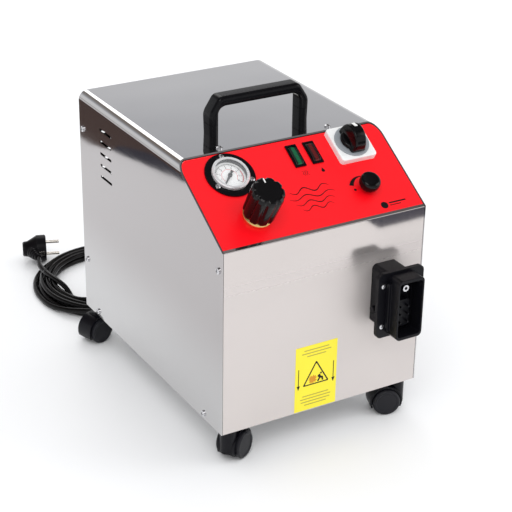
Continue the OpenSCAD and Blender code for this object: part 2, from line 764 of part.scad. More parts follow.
module flow_knob() color("black") on_panel(flow_x, flow_u) difference() {
  r = flow_knob_d / 2;
  translate([0, 0, flow_z]) rotate_extrude($fn = 96) polygon([[0, 0], [r - 2.5, 0], [r - 1, 2.5], [r, 5],
    [r, flow_knob_h - 2.5], [r - 0.8, flow_knob_h - 0.8], [r - 2.6, flow_knob_h], [0, flow_knob_h - 0.6]]);
  translate([0, 0, flow_z - 1]) cylinder(r = pot_shaft_r + shaft_gap, h = flow_knob_h - 3);
}

module pot_shaft() color("gold") on_panel(flow_x, flow_u)
  translate([0, 0, -sheet - 6]) cylinder(r = pot_shaft_r, h = sheet + 6 + flow_z + flow_knob_h - 4.2);

module potentiometer() on_panel(flow_x, flow_u) difference() {
  union() {
    color("dimgray") translate([0, 0, -sheet - 0.05 - 16]) cylinder(r = pot_r, h = 16);
    translate([0, 0, -sheet - 1]) cylinder(r = pot_shaft_r + 1.5, h = sheet + 1 + overlay_t + pot_nut_h);
    color("gold") translate([0, 0, overlay_t]) cylinder(r = pot_nut_r, h = pot_nut_h, $fn = 6);
  }
  translate([0, 0, -sheet - 6.1]) cylinder(r = pot_shaft_r + shaft_gap, h = 20);
}

// ---------------------------------------------------------------- boiler and steam parts

module boiler() color("silver") at_body() translate([boiler_x, boiler_y, 0]) difference() {
  union() {
    rotate_extrude($fn = 96) polygon([[0, boiler_z0], [boiler_r - 18, boiler_z0], [boiler_r - 6, boiler_z0 + 5],
      [boiler_r, boiler_z0 + 16], [boiler_r, boiler_z1 - 16], [boiler_r - 6, boiler_z1 - 5],
      [boiler_r - 18, boiler_z1], [0, boiler_z1]]);
    for (a = [45 : 90 : 315]) rotate([0, 0, a]) translate([boiler_r - 16, 0, tray_t])
      cylinder(r = 6, h = boiler_foot + 12);
    translate([0, 0, boiler_z1 - 1]) cylinder(r = 10, h = 13);
    translate([steam_x - boiler_x, 0, boiler_z1 - 1]) cylinder(r = 7, h = 8);
    translate([8, 0, drain_z]) out_rear() cylinder(r = 6, h = boiler_r + 2);
    translate([0, 0, feed_z]) out_front() cylinder(r = 6, h = boiler_r + 6);
  }
  rotate_extrude($fn = 96) polygon([[0, boiler_z0 + boiler_t], [boiler_r - 18, boiler_z0 + boiler_t],
    [boiler_r - 6 - boiler_t, boiler_z0 + 5 + boiler_t], [boiler_r - boiler_t, boiler_z0 + 16],
    [boiler_r - boiler_t, boiler_z1 - 16], [boiler_r - 6 - boiler_t, boiler_z1 - 5 - boiler_t],
    [boiler_r - 18, boiler_z1 - boiler_t], [0, boiler_z1 - boiler_t]]);
  translate([0, 0, boiler_z1 - 10]) cylinder(r = 6 + shaft_gap, h = 30);
  translate([steam_x - boiler_x, 0, boiler_z1 - 10]) cylinder(r = pipe_r + shaft_gap, h = 30);
  translate([-24, 0, boiler_z0 - 1]) cylinder(r = 4.5, h = 8);
  translate([24, 0, boiler_z0 - 1]) cylinder(r = 4.5, h = 8);
  translate([8, 0, drain_z]) out_rear() cylinder(r = 3, h = boiler_r + 9);
  translate([0, 0, feed_z]) out_front() cylinder(r = 3, h = boiler_r + 9);
}

module heating_element() color("darkgray") at_body() translate([boiler_x, boiler_y, 0]) {
  z0 = boiler_z0 - 12;
  z1 = boiler_z0 + 60;
  for (s = [-1, 1]) translate([s * 24, 0, z0]) cylinder(r = 4.4, h = z1 - z0);
  translate([0, 0, z1]) rotate([90, 0, 0]) rotate_extrude(angle = 180, $fn = 64) translate([24, 0]) circle(4.4);
}

module safety_valve() color("goldenrod") at_body() translate([boiler_x, boiler_y, 0]) {
  translate([0, 0, boiler_z1 + 2]) cylinder(r = 6, h = 12);
  translate([0, 0, boiler_z1 + 12.05]) cylinder(r = 13, h = 14, $fn = 6);
  translate([0, 0, boiler_z1 + 26]) cylinder(r = 9, h = 22);
  translate([0, 0, boiler_z1 + 48]) cylinder(r = 3, h = 10);
}

module steam_solenoid() at_body() translate([solenoid_x, solenoid_y, socket_z + nozzle_z]) {
  color("goldenrod") box(-16, 16, -14, 14, -13, 10);
  color("black") box(-15, 15, -15, 15, 10, 46);
  color("silver") translate([0, 0, 46]) cylinder(r = 7, h = 5);
}

// A round pipe through the points, with ball elbows
module pipe(points, r) for (i = [0 : len(points) - 2]) {
  d = points[i + 1] - points[i];
  translate(points[i]) rotate([0, acos(d[2] / norm(d)), atan2(d[1], d[0])]) cylinder(r = r, h = norm(d));
  if (i > 0) translate(points[i]) sphere(r);
}

// One pipe from the boiler to the steam valve, one from the valve to the solenoid
module steam_pipes() color("goldenrod") at_body() {
  drop_x = solenoid_x - 50;
  pipe([[steam_x, boiler_y, boiler_z1 + 2], [steam_x, boiler_y, valve_z],
    [steam_x, valve_y + valve_port, valve_z]], pipe_r);
  pipe([[steam_x + valve_port, valve_y, valve_z], [drop_x, valve_y, valve_z],
    [drop_x, valve_y, socket_z + nozzle_z - 2], [solenoid_x - 16, valve_y, socket_z + nozzle_z - 2]], pipe_r);
}

// ---------------------------------------------------------------- water side

module along_neck() translate([neck_x, body_l, neck_z]) rotate([-neck_tilt, 0, 0]) children();

module water_tank() color("ivory", 0.8) at_body() difference() {
  translate([(tank_x0 + tank_x1) / 2, (tank_y0 + tank_y1) / 2, tank_z0])
    linear_extrude(tank_z1 - tank_z0) round_rect(tank_w, tank_l, 8);
  translate([(tank_x0 + tank_x1) / 2, (tank_y0 + tank_y1) / 2, tank_z0 + tank_t])
    linear_extrude(tank_z1 - tank_z0 - 2 * tank_t) round_rect(tank_w - 2 * tank_t, tank_l - 2 * tank_t, 6);
  along_neck() translate([0, 0, -neck_in - 3]) cylinder(d = neck_d + 2 * set_gap, h = neck_in + 3);
}

module filler_neck() color("dimgray") at_body() difference() {
  union() {
    along_neck() translate([0, 0, -neck_in]) cylinder(d = neck_d, h = neck_in + neck_len);
    translate([neck_x, body_l + eps, neck_z]) out_rear() linear_extrude(neck_plate_t)
      round_rect(neck_plate_w, neck_plate_h, 8);
  }
  along_neck() translate([0, 0, -neck_in - 1]) cylinder(r = neck_bore, h = neck_in + neck_len + 2);
}

module cap_gasket() color("black") at_body() along_neck() translate([0, 0, neck_len + 0.05])
  tube(neck_d / 2 - 0.2, neck_bore + 0.5, gasket_t);

module filler_cap() color("black") at_body() along_neck() translate([0, 0, neck_len]) difference() {
  rotate_extrude($fn = 96) polygon([[0, -cap_h + 6], [cap_d / 2, -cap_h + 6], [cap_d / 2, 4],
    [cap_d / 2 - 2, 6], [cap_d / 2 - 9, cap_h - 6], [0, cap_h - 6]]);
  translate([0, 0, -cap_h]) cylinder(r = neck_d / 2 + run_gap, h = cap_h + gasket_t + 0.1);
  for (i = [0 : 11]) rotate([0, 0, 15 + i * 30])
    translate([cap_d / 2 + 1.4, 0, -cap_h]) cylinder(r = 2.4, h = 3 * cap_h);
}

module water_pump() at_body() translate([0, pump_y, tray_t]) {
  color("dimgray") box(-24, 24, -18, 18, 0, 4);
  color("black") translate([0, 0, 26]) rotate([0, 90, 0]) translate([0, 0, -30]) cylinder(r = 20, h = 44);
  color("silver") translate([0, 0, 26]) rotate([0, 90, 0]) translate([0, 0, 14]) cylinder(r = 10, h = 26);
  color("black") box(-16, 12, -14, 14, 3, 14);
}

// One hose from the tank to the pump, one from the pump to the boiler
module water_hoses() color("lightgray") at_body() {
  z = tray_t + 26;
  turn_y = pump_y + 62;
  pipe([[tank_x0 + 16, tank_y0 - 0.02, z], [tank_x0 + 16, pump_y, z], [40.02, pump_y, z]], pipe_r);
  pipe([[27, pump_y + 10.3, z], [27, turn_y, z], [boiler_x, turn_y, z], [boiler_x, turn_y, feed_z],
    [boiler_x, boiler_y - boiler_r - 6.02, feed_z]], pipe_r);
}

module control_board() at_body() translate([board_x, panel_run + 4, 40]) {
  color("green") box(0, 1.6, -60, 10, 0, 90);
  color("black") for (i = [0 : 2]) box(1.6, 15, -54 + i * 20, -40 + i * 20, 14, 32);
  color("dimgray") box(1.6, 13, -54, 4, 70, 82);
  color("gray") for (y = [-56, 6], z = [4, 86]) translate([-board_off, y, z])
    rotate([0, 90, 0]) cylinder(r = 2.5, h = board_off);
}

module drain_valve() color("goldenrod") at_body() translate([drain_x, body_l, drain_z]) difference() {
  union() {
    translate([0, -20 + 0.02, 0]) out_rear() cylinder(r = drain_d / 2 + 1, h = 32);
    translate([0, 12 - eps, 0]) out_rear() cylinder(r = drain_d / 2, h = drain_reach - 12 + eps);
    translate([0, -18, 0]) out_rear() cylinder(r = 10, h = 13, $fn = 6);
    translate([0, 7, 0]) cylinder(r = 4.5, h = drain_d / 2 + 4);
  }
  translate([0, -30, 0]) out_rear() cylinder(r = 3.5, h = 60);
  translate([0, 7, 4]) cylinder(r = 2 + shaft_gap, h = 20);
}

module drain_lever() color("red") at_body() translate([drain_x, body_l + 7, drain_z]) rotate([0, 0, -90]) {
  translate([0, 0, 4.5]) cylinder(r = 2, h = drain_d / 2 + 4);
  translate([0, 0, drain_d / 2 + 4 + run_gap]) {
    cylinder(r = 5.5, h = lever_t);
    box(-4.5, 4.5, 0, lever_len, 0, lever_t);
    translate([0, lever_len, 0]) cylinder(r = 4.5, h = lever_t);
  }
}

// ---------------------------------------------------------------- casters

module stem_places() translate([0, y_front, 0])
  for (x = [-caster_x, caster_x], y = [caster_y0, caster_y1]) translate([x, y, 0]) children();

module caster_stems() color("steelblue") stem_places() {
  translate([0, 0, stem_head]) cylinder(r = stem_r, h = ride_h - stem_head + 8);
  translate([0, 0, ride_h - 2]) cylinder(r = 9, h = 2 - eps);
  translate([0, 0, ride_h + tray_t + 0.02]) cylinder(r = 7, h = 4.5, $fn = 6);
}

module caster(x, y, a) translate([x, y_front + y, 0]) rotate([0, 0, a]) children();

module on_axle() translate([caster_trail, 0, wheel_r]) rotate([90, 0, 0]) children();

module wheel_pockets() for (s = [0, 1]) mirror([0, s, 0]) on_axle()
  translate([0, 0, caster_web / 2]) cylinder(r = pocket_r, h = caster_half);

module caster_hood() color("black") difference() {
  union() {
    difference() {
      on_axle() cylinder(r = fender_r, h = 2 * fender_half, center = true);
      translate([-40, -30, -10]) cube([80, 60, skirt_z + 10]);
    }
    translate([0, 0, boss_z]) cylinder(r = boss_r, h = boss_top - boss_z);
  }
  wheel_pockets();
  on_axle() cylinder(r = axle_r + shaft_gap, h = 60, center = true);
  translate([0, 0, stem_head - 1]) cylinder(r = stem_r + shaft_gap, h = 20);
}

module caster_wheels() {
  color("dimgray") for (s = [0, 1]) mirror([0, s, 0]) on_axle() translate([0, 0, caster_web / 2 + wheel_gap])
    rotate_extrude($fn = 96) polygon([[axle_r, 0], [wheel_r, 0], [wheel_r, wheel_w - 1.5],
      [wheel_r - 1.5, wheel_w], [wheel_r - 3.5, wheel_w], [wheel_r - 4.5, wheel_w - 0.8],
      [0, wheel_w - 0.8], [0, wheel_w - 2], [axle_r, wheel_w - 2]]);
  color("silver") on_axle() cylinder(r = axle_r, h = 2 * (caster_half - 2), center = true);
}

module caster_hood_fl() caster(-caster_x, caster_y0, angle_fl) caster_hood();
module caster_hood_fr() caster(caster_x, caster_y0, angle_fr) caster_hood();
module caster_hood_bl() caster(-caster_x, caster_y1, angle_bl) caster_hood();
module caster_hood_br() caster(caster_x, caster_y1, angle_br) caster_hood();
module caster_wheels_fl() caster(-caster_x, caster_y0, angle_fl) caster_wheels();
module caster_wheels_fr() caster(caster_x, caster_y0, angle_fr) caster_wheels();
module caster_wheels_bl() caster(-caster_x, caster_y1, angle_bl) caster_wheels();
module caster_wheels_br() caster(caster_x, caster_y1, angle_br) caster_wheels();

// ---------------------------------------------------------------- mains lead

function unit(v) = v / norm(v);

function way(path, i) = unit(path[min(i + 1, len(path) - 1)] - path[max(i - 1, 0)]);

// One ring of points square to the path at point i
function ring(path, i, r, n) = let (
    t = way(path, i),
    u = unit(cross(t, abs(t[2]) > 0.9 ? [1, 0, 0] : [0, 0, 1])),
    v = cross(u, t))
  [for (k = [0 : n - 1]) path[i] + r * (cos(360 * k / n) * u + sin(360 * k / n) * v)];

module swept_tube(path, r, n) {
  last = len(path) - 1;
  points = [for (i = [0 : last]) each ring(path, i, r, n)];
  walls = [for (i = [0 : last - 1], k = [0 : n - 1])
    [i * n + k, i * n + (k + 1) % n, (i + 1) * n + (k + 1) % n, (i + 1) * n + k]];
  polyhedron(points, concat([[for (k = [n - 1 : -1 : 0]) k]], walls,
    [[for (k = [0 : n - 1]) last * n + k]]));
}

module cord_gland() color("black") behind_body() translate([gland_x, 0, gland_z]) out_rear() {
  translate([0, 0, -8]) tube(8, cord_d / 2 + 0.1, 8.5);
  rotate_extrude($fn = 64) polygon([[cord_d / 2 + 0.1, 0.02], [12, 0.02], [12, 4], [9, 6], [8, 8],
    [5.6, gland_reach], [cord_d / 2 + 0.1, gland_reach]]);
  translate([0, 0, -sheet - 4.1]) tube(11, 8.1, 4);
}

module cord_lead() color("black") behind_body() swept_tube(lead_path, cord_d / 2, cord_sides);
module cord_tail() color("black") behind_body() swept_tube(tail_path, cord_d / 2, cord_sides);

module cord_coil() color("black") behind_body() translate([coil_x, coil_y, 0]) rotate_extrude($fn = 128)
  polygon([[coil_r_in, 1], [coil_r_in + 1, 0], [coil_r_out - 1, 0], [coil_r_out, 1], [coil_r_out, cord_d - 1],
    [coil_r_out - cord_d, coil_h], [coil_r_in + cord_d, coil_h], [coil_r_in, cord_d - 1]]);

module at_plug() behind_body() translate([plug_x, plug_y, plug_d / 2]) rotate([0, 0, plug_turn]) children();

// The plug: a round face block, a tapered back and a side exit for the lead
module plug_body() color("black") {
  at_plug() difference() {
    union() {
      rotate([0, -90, 0]) cylinder(d = plug_d, h = plug_depth);
      translate([-plug_depth + eps, 0, 0]) rotate([0, -90, 0]) rotate_extrude($fn = 64)
        polygon([[0, 0], [plug_d / 2, 0], [plug_d / 2 - 8, 12], [plug_d / 2 - 9, 19], [0, 19]]);
    }
    for (s = [-1, 1]) translate([-8, 0, s * 9.5]) rotate([0, 90, 0]) cylinder(r = 2.4 + shaft_gap, h = 20);
    for (s = [-1, 1]) translate([-7, s * plug_d / 2, 0]) cube([18, 5, 7], center = true);
  }
  difference() {
    behind_body() translate(relief_end) rotate([90, 0, relief_turn]) translate([0, 0, -relief_len])
      cylinder(r1 = 9, r2 = cord_d / 2 + 1.2, h = relief_len, $fn = 48);
    at_plug() rotate([0, -90, 0]) cylinder(d = plug_d + 20, h = plug_depth - 2);
  }
}

module plug_pins() color("silver") at_plug() for (s = [-1, 1])
  translate([-7.9, 0, s * 9.5]) rotate([0, 90, 0]) cylinder(r = 2.4, h = 7.9 + 19);

// ---------------------------------------------------------------- output

base_tray();
hood();
front_panel();
rear_panel();
control_overlay();
warning_label();
housing_screws();
carry_handle();
socket_housing();
socket_shroud();
socket_contacts();
steam_nozzle();
flange_screws();
gauge_case();
gauge_bezel();
gauge_dial();
gauge_needle();
gauge_lens();
valve_body();
valve_collar();
valve_spindle();
steam_knob();
lamp_bezels();
green_lens();
red_lens();
selector_plate();
selector_knob();
selector_switch();
flow_knob();
pot_shaft();
potentiometer();
boiler();
heating_element();
safety_valve();
steam_solenoid();
steam_pipes();
water_tank();
water_pump();
water_hoses();
control_board();
filler_neck();
cap_gasket();
filler_cap();
drain_valve();
drain_lever();
caster_stems();
caster_hood_fl();
caster_hood_fr();
caster_hood_bl();
caster_hood_br();
caster_wheels_fl();
caster_wheels_fr();
caster_wheels_bl();
caster_wheels_br();
cord_gland();
cord_lead();
cord_coil();
cord_tail();
plug_body();
plug_pins();
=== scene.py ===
import json
import math

import bmesh
import bpy
from bpy.props import FloatProperty, FloatVectorProperty, IntProperty, PointerProperty
from bpy.types import Operator, Panel, PropertyGroup
from mathutils import Matrix, Vector

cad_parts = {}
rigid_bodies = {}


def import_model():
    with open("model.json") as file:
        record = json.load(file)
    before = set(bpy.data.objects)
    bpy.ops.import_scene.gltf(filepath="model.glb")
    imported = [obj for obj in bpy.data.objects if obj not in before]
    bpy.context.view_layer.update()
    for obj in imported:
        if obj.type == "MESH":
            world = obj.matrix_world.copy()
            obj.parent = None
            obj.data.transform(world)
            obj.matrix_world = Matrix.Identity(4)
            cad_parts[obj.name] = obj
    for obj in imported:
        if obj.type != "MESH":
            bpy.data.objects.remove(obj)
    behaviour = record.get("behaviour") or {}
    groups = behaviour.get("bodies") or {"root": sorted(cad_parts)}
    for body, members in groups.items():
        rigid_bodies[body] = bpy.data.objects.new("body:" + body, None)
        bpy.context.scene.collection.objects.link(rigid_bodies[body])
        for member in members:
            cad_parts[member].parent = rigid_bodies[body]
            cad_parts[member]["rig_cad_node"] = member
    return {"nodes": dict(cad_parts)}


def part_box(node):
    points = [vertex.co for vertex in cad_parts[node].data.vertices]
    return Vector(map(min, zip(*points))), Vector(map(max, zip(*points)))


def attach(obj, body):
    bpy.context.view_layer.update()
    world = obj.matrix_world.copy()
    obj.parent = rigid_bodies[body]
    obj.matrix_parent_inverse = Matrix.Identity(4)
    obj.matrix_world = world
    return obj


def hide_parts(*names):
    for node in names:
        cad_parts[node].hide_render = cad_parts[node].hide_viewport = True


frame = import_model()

bl_info = {
    "name": "Steam Cleaner Looks",
    "version": (1, 0, 0),
    "blender": (4, 5, 0),
    "location": "3D View > Sidebar > Steam Cleaner",
    "description": "Finishes for the packed steam cleaner: steel, film, plastics, prints and its mains lead",
    "category": "Object",
}

for leftover in bpy.data.objects[:]:
    if leftover.type in {"MESH", "LIGHT", "CAMERA"} and "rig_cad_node" not in leftover:
        bpy.data.objects.remove(leftover)
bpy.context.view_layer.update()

NODES = frame["nodes"]
MM = 0.001

# The housing's faces, and the slope that carries the controls
LEFT, FRONT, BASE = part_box("hood")[0]
RIGHT, REAR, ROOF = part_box("hood")[1]
RISE, RUN = 69 * MM, 111 * MM
FOLD = ROOF - RISE
SLOPE = math.atan2(RISE, RUN)
# Radius of the roof's long edges and thickness of printed marks
ROUND_EDGE = 12 * MM
INK = 0.12 * MM
# Thickness of the film on the slope, in millimetres
FILM = 0.5


def panel_place(x, u, n=0.0):
    """A place on the sloping panel: x across, u up the slope from the fold, n out of it, in millimetres."""
    turn = Matrix.Rotation(SLOPE, 4, "X")
    return Matrix.Translation((x * MM, FRONT, FOLD)) @ turn @ Matrix.Translation((0, u * MM, n * MM))


# Where the controls sit on the panel, as x and u in millimetres
GAUGE_AT = (-80.5, 95.7)
STEAM_AT = (-74.7, 36.0)
GREEN_AT = (9.1, 102.7)
RED_AT = (32.6, 102.7)
SELECTOR_AT = (83.0, 102.0)
FLOW_AT = (75.0, 41.5)


# ------------------------------------------------------------ settings


class SteamerBody(PropertyGroup):
    """Finish of the housing and the film"""

    steel: FloatVectorProperty(name="Steel", description="Colour of the polished sheet", subtype="COLOR",
                               default=(0.62, 0.615, 0.615), size=3, min=0, max=1)
    front_steel: FloatVectorProperty(name="Front steel", description="Colour of the folded front panel",
                                     subtype="COLOR", default=(0.655, 0.605, 0.585), size=3, min=0, max=1)
    polish: FloatProperty(name="Polish", description="Roughness of the polished sheet", default=0.055,
                          min=0.02, max=0.6)
    film: FloatVectorProperty(name="Film", description="Colour of the printed film on the slope",
                              subtype="COLOR", default=(1.0, 0.003, 0.010), size=3, min=0, max=1)
    label: FloatVectorProperty(name="Label", description="Colour of the front label", subtype="COLOR",
                               default=(0.97, 0.84, 0.05), size=3, min=0, max=1)


class SteamerHandle(PropertyGroup):
    """Shape of the carrying handle"""

    grip_edge: FloatProperty(name="Grip edge", description="Radius along the grip's edges", default=4.6 * MM,
                             min=1 * MM, max=5.5 * MM, unit="LENGTH")
    shoulder: FloatProperty(name="Shoulder", description="Radius of the shoulders", default=4.5 * MM,
                            min=2 * MM, max=9 * MM, unit="LENGTH")


class SteamerControls(PropertyGroup):
    """Shapes of the knobs and the gauge's print"""

    lobes: IntProperty(name="Lobes", description="Lobes round the steam knob", default=9, min=6, max=14)
    lobe_depth: FloatProperty(name="Lobe depth", description="Depth of the steam knob's flutes",
                              default=2.1 * MM, min=0.5 * MM, max=3 * MM, unit="LENGTH")
    scale_steps: IntProperty(name="Scale steps", description="Numbered steps on the scale", default=8,
                             min=4, max=12)


class SteamerLead(PropertyGroup):
    """The mains lead"""

    thickness: FloatProperty(name="Thickness", description="Diameter of the lead", default=7.6 * MM,
                             min=6 * MM, max=9 * MM, unit="LENGTH")
    turns_low: FloatProperty(name="Lower turns", description="Turns of the coil that lie on the floor",
                             default=3.945, min=2, max=4)
    turns_high: FloatProperty(name="Upper turns", description="Turns lying on the lower ones", default=2.9,
                              min=1, max=3)


class SteamerStage(PropertyGroup):
    """Light and camera"""

    room: FloatProperty(name="Room light", description="Strength of the light from all round", default=1.0,
                        min=0, max=3)
    soft_box: FloatProperty(name="Soft box", description="Watts of the large soft light", default=26,
                            min=0, max=200)
    lens: FloatProperty(name="Lens", description="Focal length of the camera in millimetres", default=106.06,
                        min=20, max=200)


# ------------------------------------------------------------ shaders


class Value:
    """A number in a shader, which sums, products and comparisons are written with."""

    def __init__(self, nodes, socket):
        self.nodes = nodes
        self.socket = socket

    def _maths(self, operation, first, second):
        return self.nodes.number("ShaderNodeMath", {"operation": operation}, {0: first, 1: second})

    def __add__(self, other):
        return self._maths("ADD", self, other)

    def __sub__(self, other):
        return self._maths("SUBTRACT", self, other)

    def __rsub__(self, other):
        return self._maths("SUBTRACT", other, self)

    def __mul__(self, other):
        return self._maths("MULTIPLY", self, other)

    def __pow__(self, other):
        return self._maths("POWER", self, other)

    def __gt__(self, other):
        return self._maths("GREATER_THAN", self, other)

    def __lt__(self, other):
        return self._maths("LESS_THAN", self, other)

    __radd__ = __add__
    __rmul__ = __mul__


class Nodes:
    """Puts a node tree together. A node is told its type, its settings and what its sockets are fed."""

    def __init__(self, tree):
        self.tree = tree

    def add(self, kind, settings=None, inputs=None):
        node = self.tree.nodes.new(kind)
        for key, value in (settings or {}).items():
            if key == "stops":
                while len(node.color_ramp.elements) < len(value):
                    node.color_ramp.elements.new(0.5)
                for element, (place, colour) in zip(node.color_ramp.elements, value):
                    element.position = place
                    element.color = (*colour, 1)
            else:
                setattr(node, key, value)
        for key, value in (inputs or {}).items():
            self.feed(node, key, value)
        return node

    def feed(self, node, key, value):
        if isinstance(value, Value):
            value = value.socket
        if isinstance(value, bpy.types.NodeSocket):
            self.tree.links.new(value, node.inputs[key])
        else:
            node.inputs[key].default_value = value

    def number(self, kind, settings=None, inputs=None):
        return Value(self, self.add(kind, settings, inputs).outputs[0])

    def blend(self, share, first, second):
        """A colour between two others."""
        node = self.add("ShaderNodeMix", {"data_type": "RGBA"}, {0: share})
        for key, colour in ((6, first), (7, second)):
            self.feed(node, key, colour if isinstance(colour, bpy.types.NodeSocket) else (*colour, 1))
        return node.outputs[2]


class Surface(Nodes):
    """A material that is put together from nodes."""

    def __init__(self, name):
        self.material = bpy.data.materials.new(name)
        self.material.use_nodes = True
        super().__init__(self.material.node_tree)
        self.tree.nodes.clear()
        self.shader = self.add("ShaderNodeBsdfPrincipled")
        self.add("ShaderNodeOutputMaterial", inputs={"Surface": self.shader.outputs[0]})

    def place(self, scale=(1, 1, 1), shift=(0, 0, 0)):
        """The place on the piece, stretched and shifted."""
        spot = self.add("ShaderNodeTexCoord").outputs["Object"]
        mapped = self.add("ShaderNodeMapping", inputs={"Vector": spot, "Scale": scale, "Location": shift})
        return mapped.outputs[0]

    def axes(self):
        """The place's X, Y and Z."""
        split = self.add("ShaderNodeSeparateXYZ", inputs={0: self.place()})
        return [Value(self, socket) for socket in split.outputs]

    def fade(self, value, start, end):
        """Rises smoothly from nothing at start to one at end."""
        return self.number("ShaderNodeMapRange", {"interpolation_type": "SMOOTHSTEP"},
                           {"Value": value, "From Min": start, "From Max": end})

    def noise(self, scale, detail=3.0, rough=0.5, stretch=(1, 1, 1), shift=(0, 0, 0)):
        where = self.place(stretch, shift)
        return self.number("ShaderNodeTexNoise", {},
                           {"Vector": where, "Scale": scale, "Detail": detail, "Roughness": rough})

    def relief(self, height, strength, depth, under=None):
        wanted = {"Height": height, "Strength": strength, "Distance": depth}
        if under is not None:
            wanted["Normal"] = under
        return self.add("ShaderNodeBump", inputs=wanted).outputs[0]

    def set(self, **wanted):
        for key, value in wanted.items():
            name = key.replace("_", " ").title().replace("Ior", "IOR")
            if isinstance(value, tuple) and len(value) == 3 and "Color" in name:
                value = (*value, 1)
            self.feed(self.shader, name, value)
        return self.material


def sheet_steel(name, tint, polish, streak, satin=None, inner=None, painted_side_shade=None):
    """Polished sheet, with functions that mask its satin zone, its inner side with painted shade and its
    sides with a painted dark reflection.
    """
    s = Surface(name)
    smear = s.noise(9, 4, 0.6)
    streaks = s.noise(260, 2, 0.5, stretch=streak)
    wave = s.noise(7, 1, 0.4, shift=(0.3, 0.1, 0.7))
    fine = s.relief(streaks, 0.05, 0.00005)
    x, y, z = s.axes()
    soft = satin(s, z) if satin else 0.0 if inner else 0.5
    # Mask of the inner side, which gets painted shade and a rougher finish.
    painted_inner_shade = inner(x, y, z) if inner else 0.0
    colour = s.blend(smear, tuple(c * 0.93 for c in tint), tint)
    # Painted dark reflection: the colour of the sides is darkened towards the roof.
    if painted_side_shade:
        colour = s.blend(painted_side_shade(s, x, z), colour, (tint[0] * 0.74, tint[1] * 0.71, tint[2] * 0.71))
    # Painted shade: the inner side is near black, so the inside looks dark through the slots.
    if inner:
        colour = s.blend(painted_inner_shade, colour, (0.05, 0.048, 0.046))
    return s.set(base_color=colour, metallic=1 - soft * 0.7,
                 roughness=smear * 0.04 + streaks * 0.03 + soft * 0.36 + painted_inner_shade * 0.45 + (polish - 0.035),
                 normal=s.relief(wave, 0.35, 0.0016, fine))


# How deep under the outer faces the inner side with its painted shade begins: on hood and rear, and on the
# front sheet
SKIN, FRONT_SKIN = 0.15 * MM, 0.5 * MM


def inside_front(x, y, z, skin=FRONT_SKIN):
    """Behind the front face and the slope."""
    slope = (y - FRONT) * math.sin(SLOPE) > (z - FOLD) * math.cos(SLOPE) + skin
    return (y > FRONT + skin) * slope


def inside_rear(x, y, z):
    return REAR - SKIN > y


def inside_hood(x, y, z):
    """Within the arch of the sides and the roof, with its round edges."""
    side = (x ** 2) ** 0.5 - (RIGHT - ROUND_EDGE)
    top = z - (ROOF - ROUND_EDGE)
    side, top = side * (side > 0), top * (top > 0)
    arch = ROUND_EDGE - SKIN > (side ** 2 + top ** 2) ** 0.5
    return arch * inside_front(x, y, z, SKIN) * inside_rear(x, y, z)


def satin_front(s, z):
    """The front is satin below a polished band under the fold."""
    return s.fade(z, 0.264, 0.19)


def dusky_sides(s, x, z):
    """Painted dark reflection: the sides' colour grows darker towards the roof."""
    return (x ** 2 > (RIGHT - MM) ** 2) * s.fade(z, 0.07, 0.2)


def moulded(name, colour, roughness, grain=1500, relief=0.25, coat=0.0, sheen=0.2):
    s = Surface(name)
    pits = s.noise(grain, 2, 0.6)
    wear = s.noise(45, 4, 0.65)
    lighter = tuple(min(1, c * 1.35 + 0.0015) for c in colour)
    return s.set(base_color=s.blend(wear ** 2, colour, lighter), roughness=wear * 0.16 + (roughness - 0.08),
                 coat_weight=coat, coat_roughness=0.12, specular_ior_level=sheen,
                 normal=s.relief(pits, relief, 0.00008))


def printed_film(name, colour, roughness=0.34):
    s = Surface(name)
    weave = s.noise(900, 2, 0.5)
    fade = s.noise(12, 3, 0.5)
    deeper = tuple(c * 0.9 for c in colour)
    return s.set(base_color=s.blend(fade, deeper, colour), roughness=weave * 0.12 + (roughness - 0.06),
                 coat_weight=0.1, coat_roughness=0.15, specular_ior_level=0.25,
                 normal=s.relief(weave, 0.12, 0.00004))


def bright_metal(name, colour, roughness=0.2, metal=1.0):
    s = Surface(name)
    grime = s.noise(160, 4, 0.6)
    fine = s.noise(2600, 2, 0.5)
    dull = tuple(c * 0.72 for c in colour)
    return s.set(base_color=s.blend(grime ** 3 * 1.6, colour, dull), metallic=metal,
                 roughness=grime * 0.16 + (roughness - 0.06), normal=s.relief(fine, 0.18, 0.00003))


def lamp_plastic(name, colour, centre, glow):
    """A ribbed lens whose colour is painted brighter along its middle, as the bulb's light, and which glows
    there.
    """
    s = Surface(name)
    ribs = s.number("ShaderNodeTexWave", {"bands_direction": "Y"}, {"Vector": s.place(), "Scale": 180.0})
    patch = s.noise(140, 2, 0.5)
    core = s.fade((s.axes()[0] - centre) ** 2, 0.0000110, 0.0000004)
    # Painted light: the base colour is lighter along the middle, over the bulb.
    return s.set(base_color=s.blend(core * (ribs * 0.5 + 0.5), tuple(c * 0.06 for c in colour), colour),
                 roughness=patch * 0.06 + 0.08, coat_weight=0.6, coat_roughness=0.05,
                 emission_color=s.blend(core, (0.0, 0.0, 0.0), colour), emission_strength=glow,
                 normal=s.relief(ribs, 0.25, 0.0002))


def clear_pane(name):
    s = Surface(name)
    dust = s.noise(300, 3, 0.6)
    return s.set(base_color=(0.96, 0.98, 1.0), roughness=dust * 0.04, alpha=dust * 0.06 + 0.05)


def rubber_sheath(name, colour):
    s = Surface(name)
    scuff = s.noise(60, 5, 0.7)
    grain = s.noise(1800, 2, 0.5)
    lighter = tuple(c * 1.8 + 0.002 for c in colour)
    return s.set(base_color=s.blend(scuff ** 3, colour, lighter), roughness=scuff * 0.2 + 0.1,
                 specular_ior_level=0.2, normal=s.relief(grain, 0.2, 0.00005))


def braided_hose(name):
    s = Surface(name)
    weave = s.number("ShaderNodeTexVoronoi", {}, {"Vector": s.place(), "Scale": 900.0})
    return s.set(base_color=s.blend(weave, (0.62, 0.62, 0.6), (0.25, 0.25, 0.25)), roughness=0.45,
                 normal=s.relief(weave, 0.6, 0.0002))


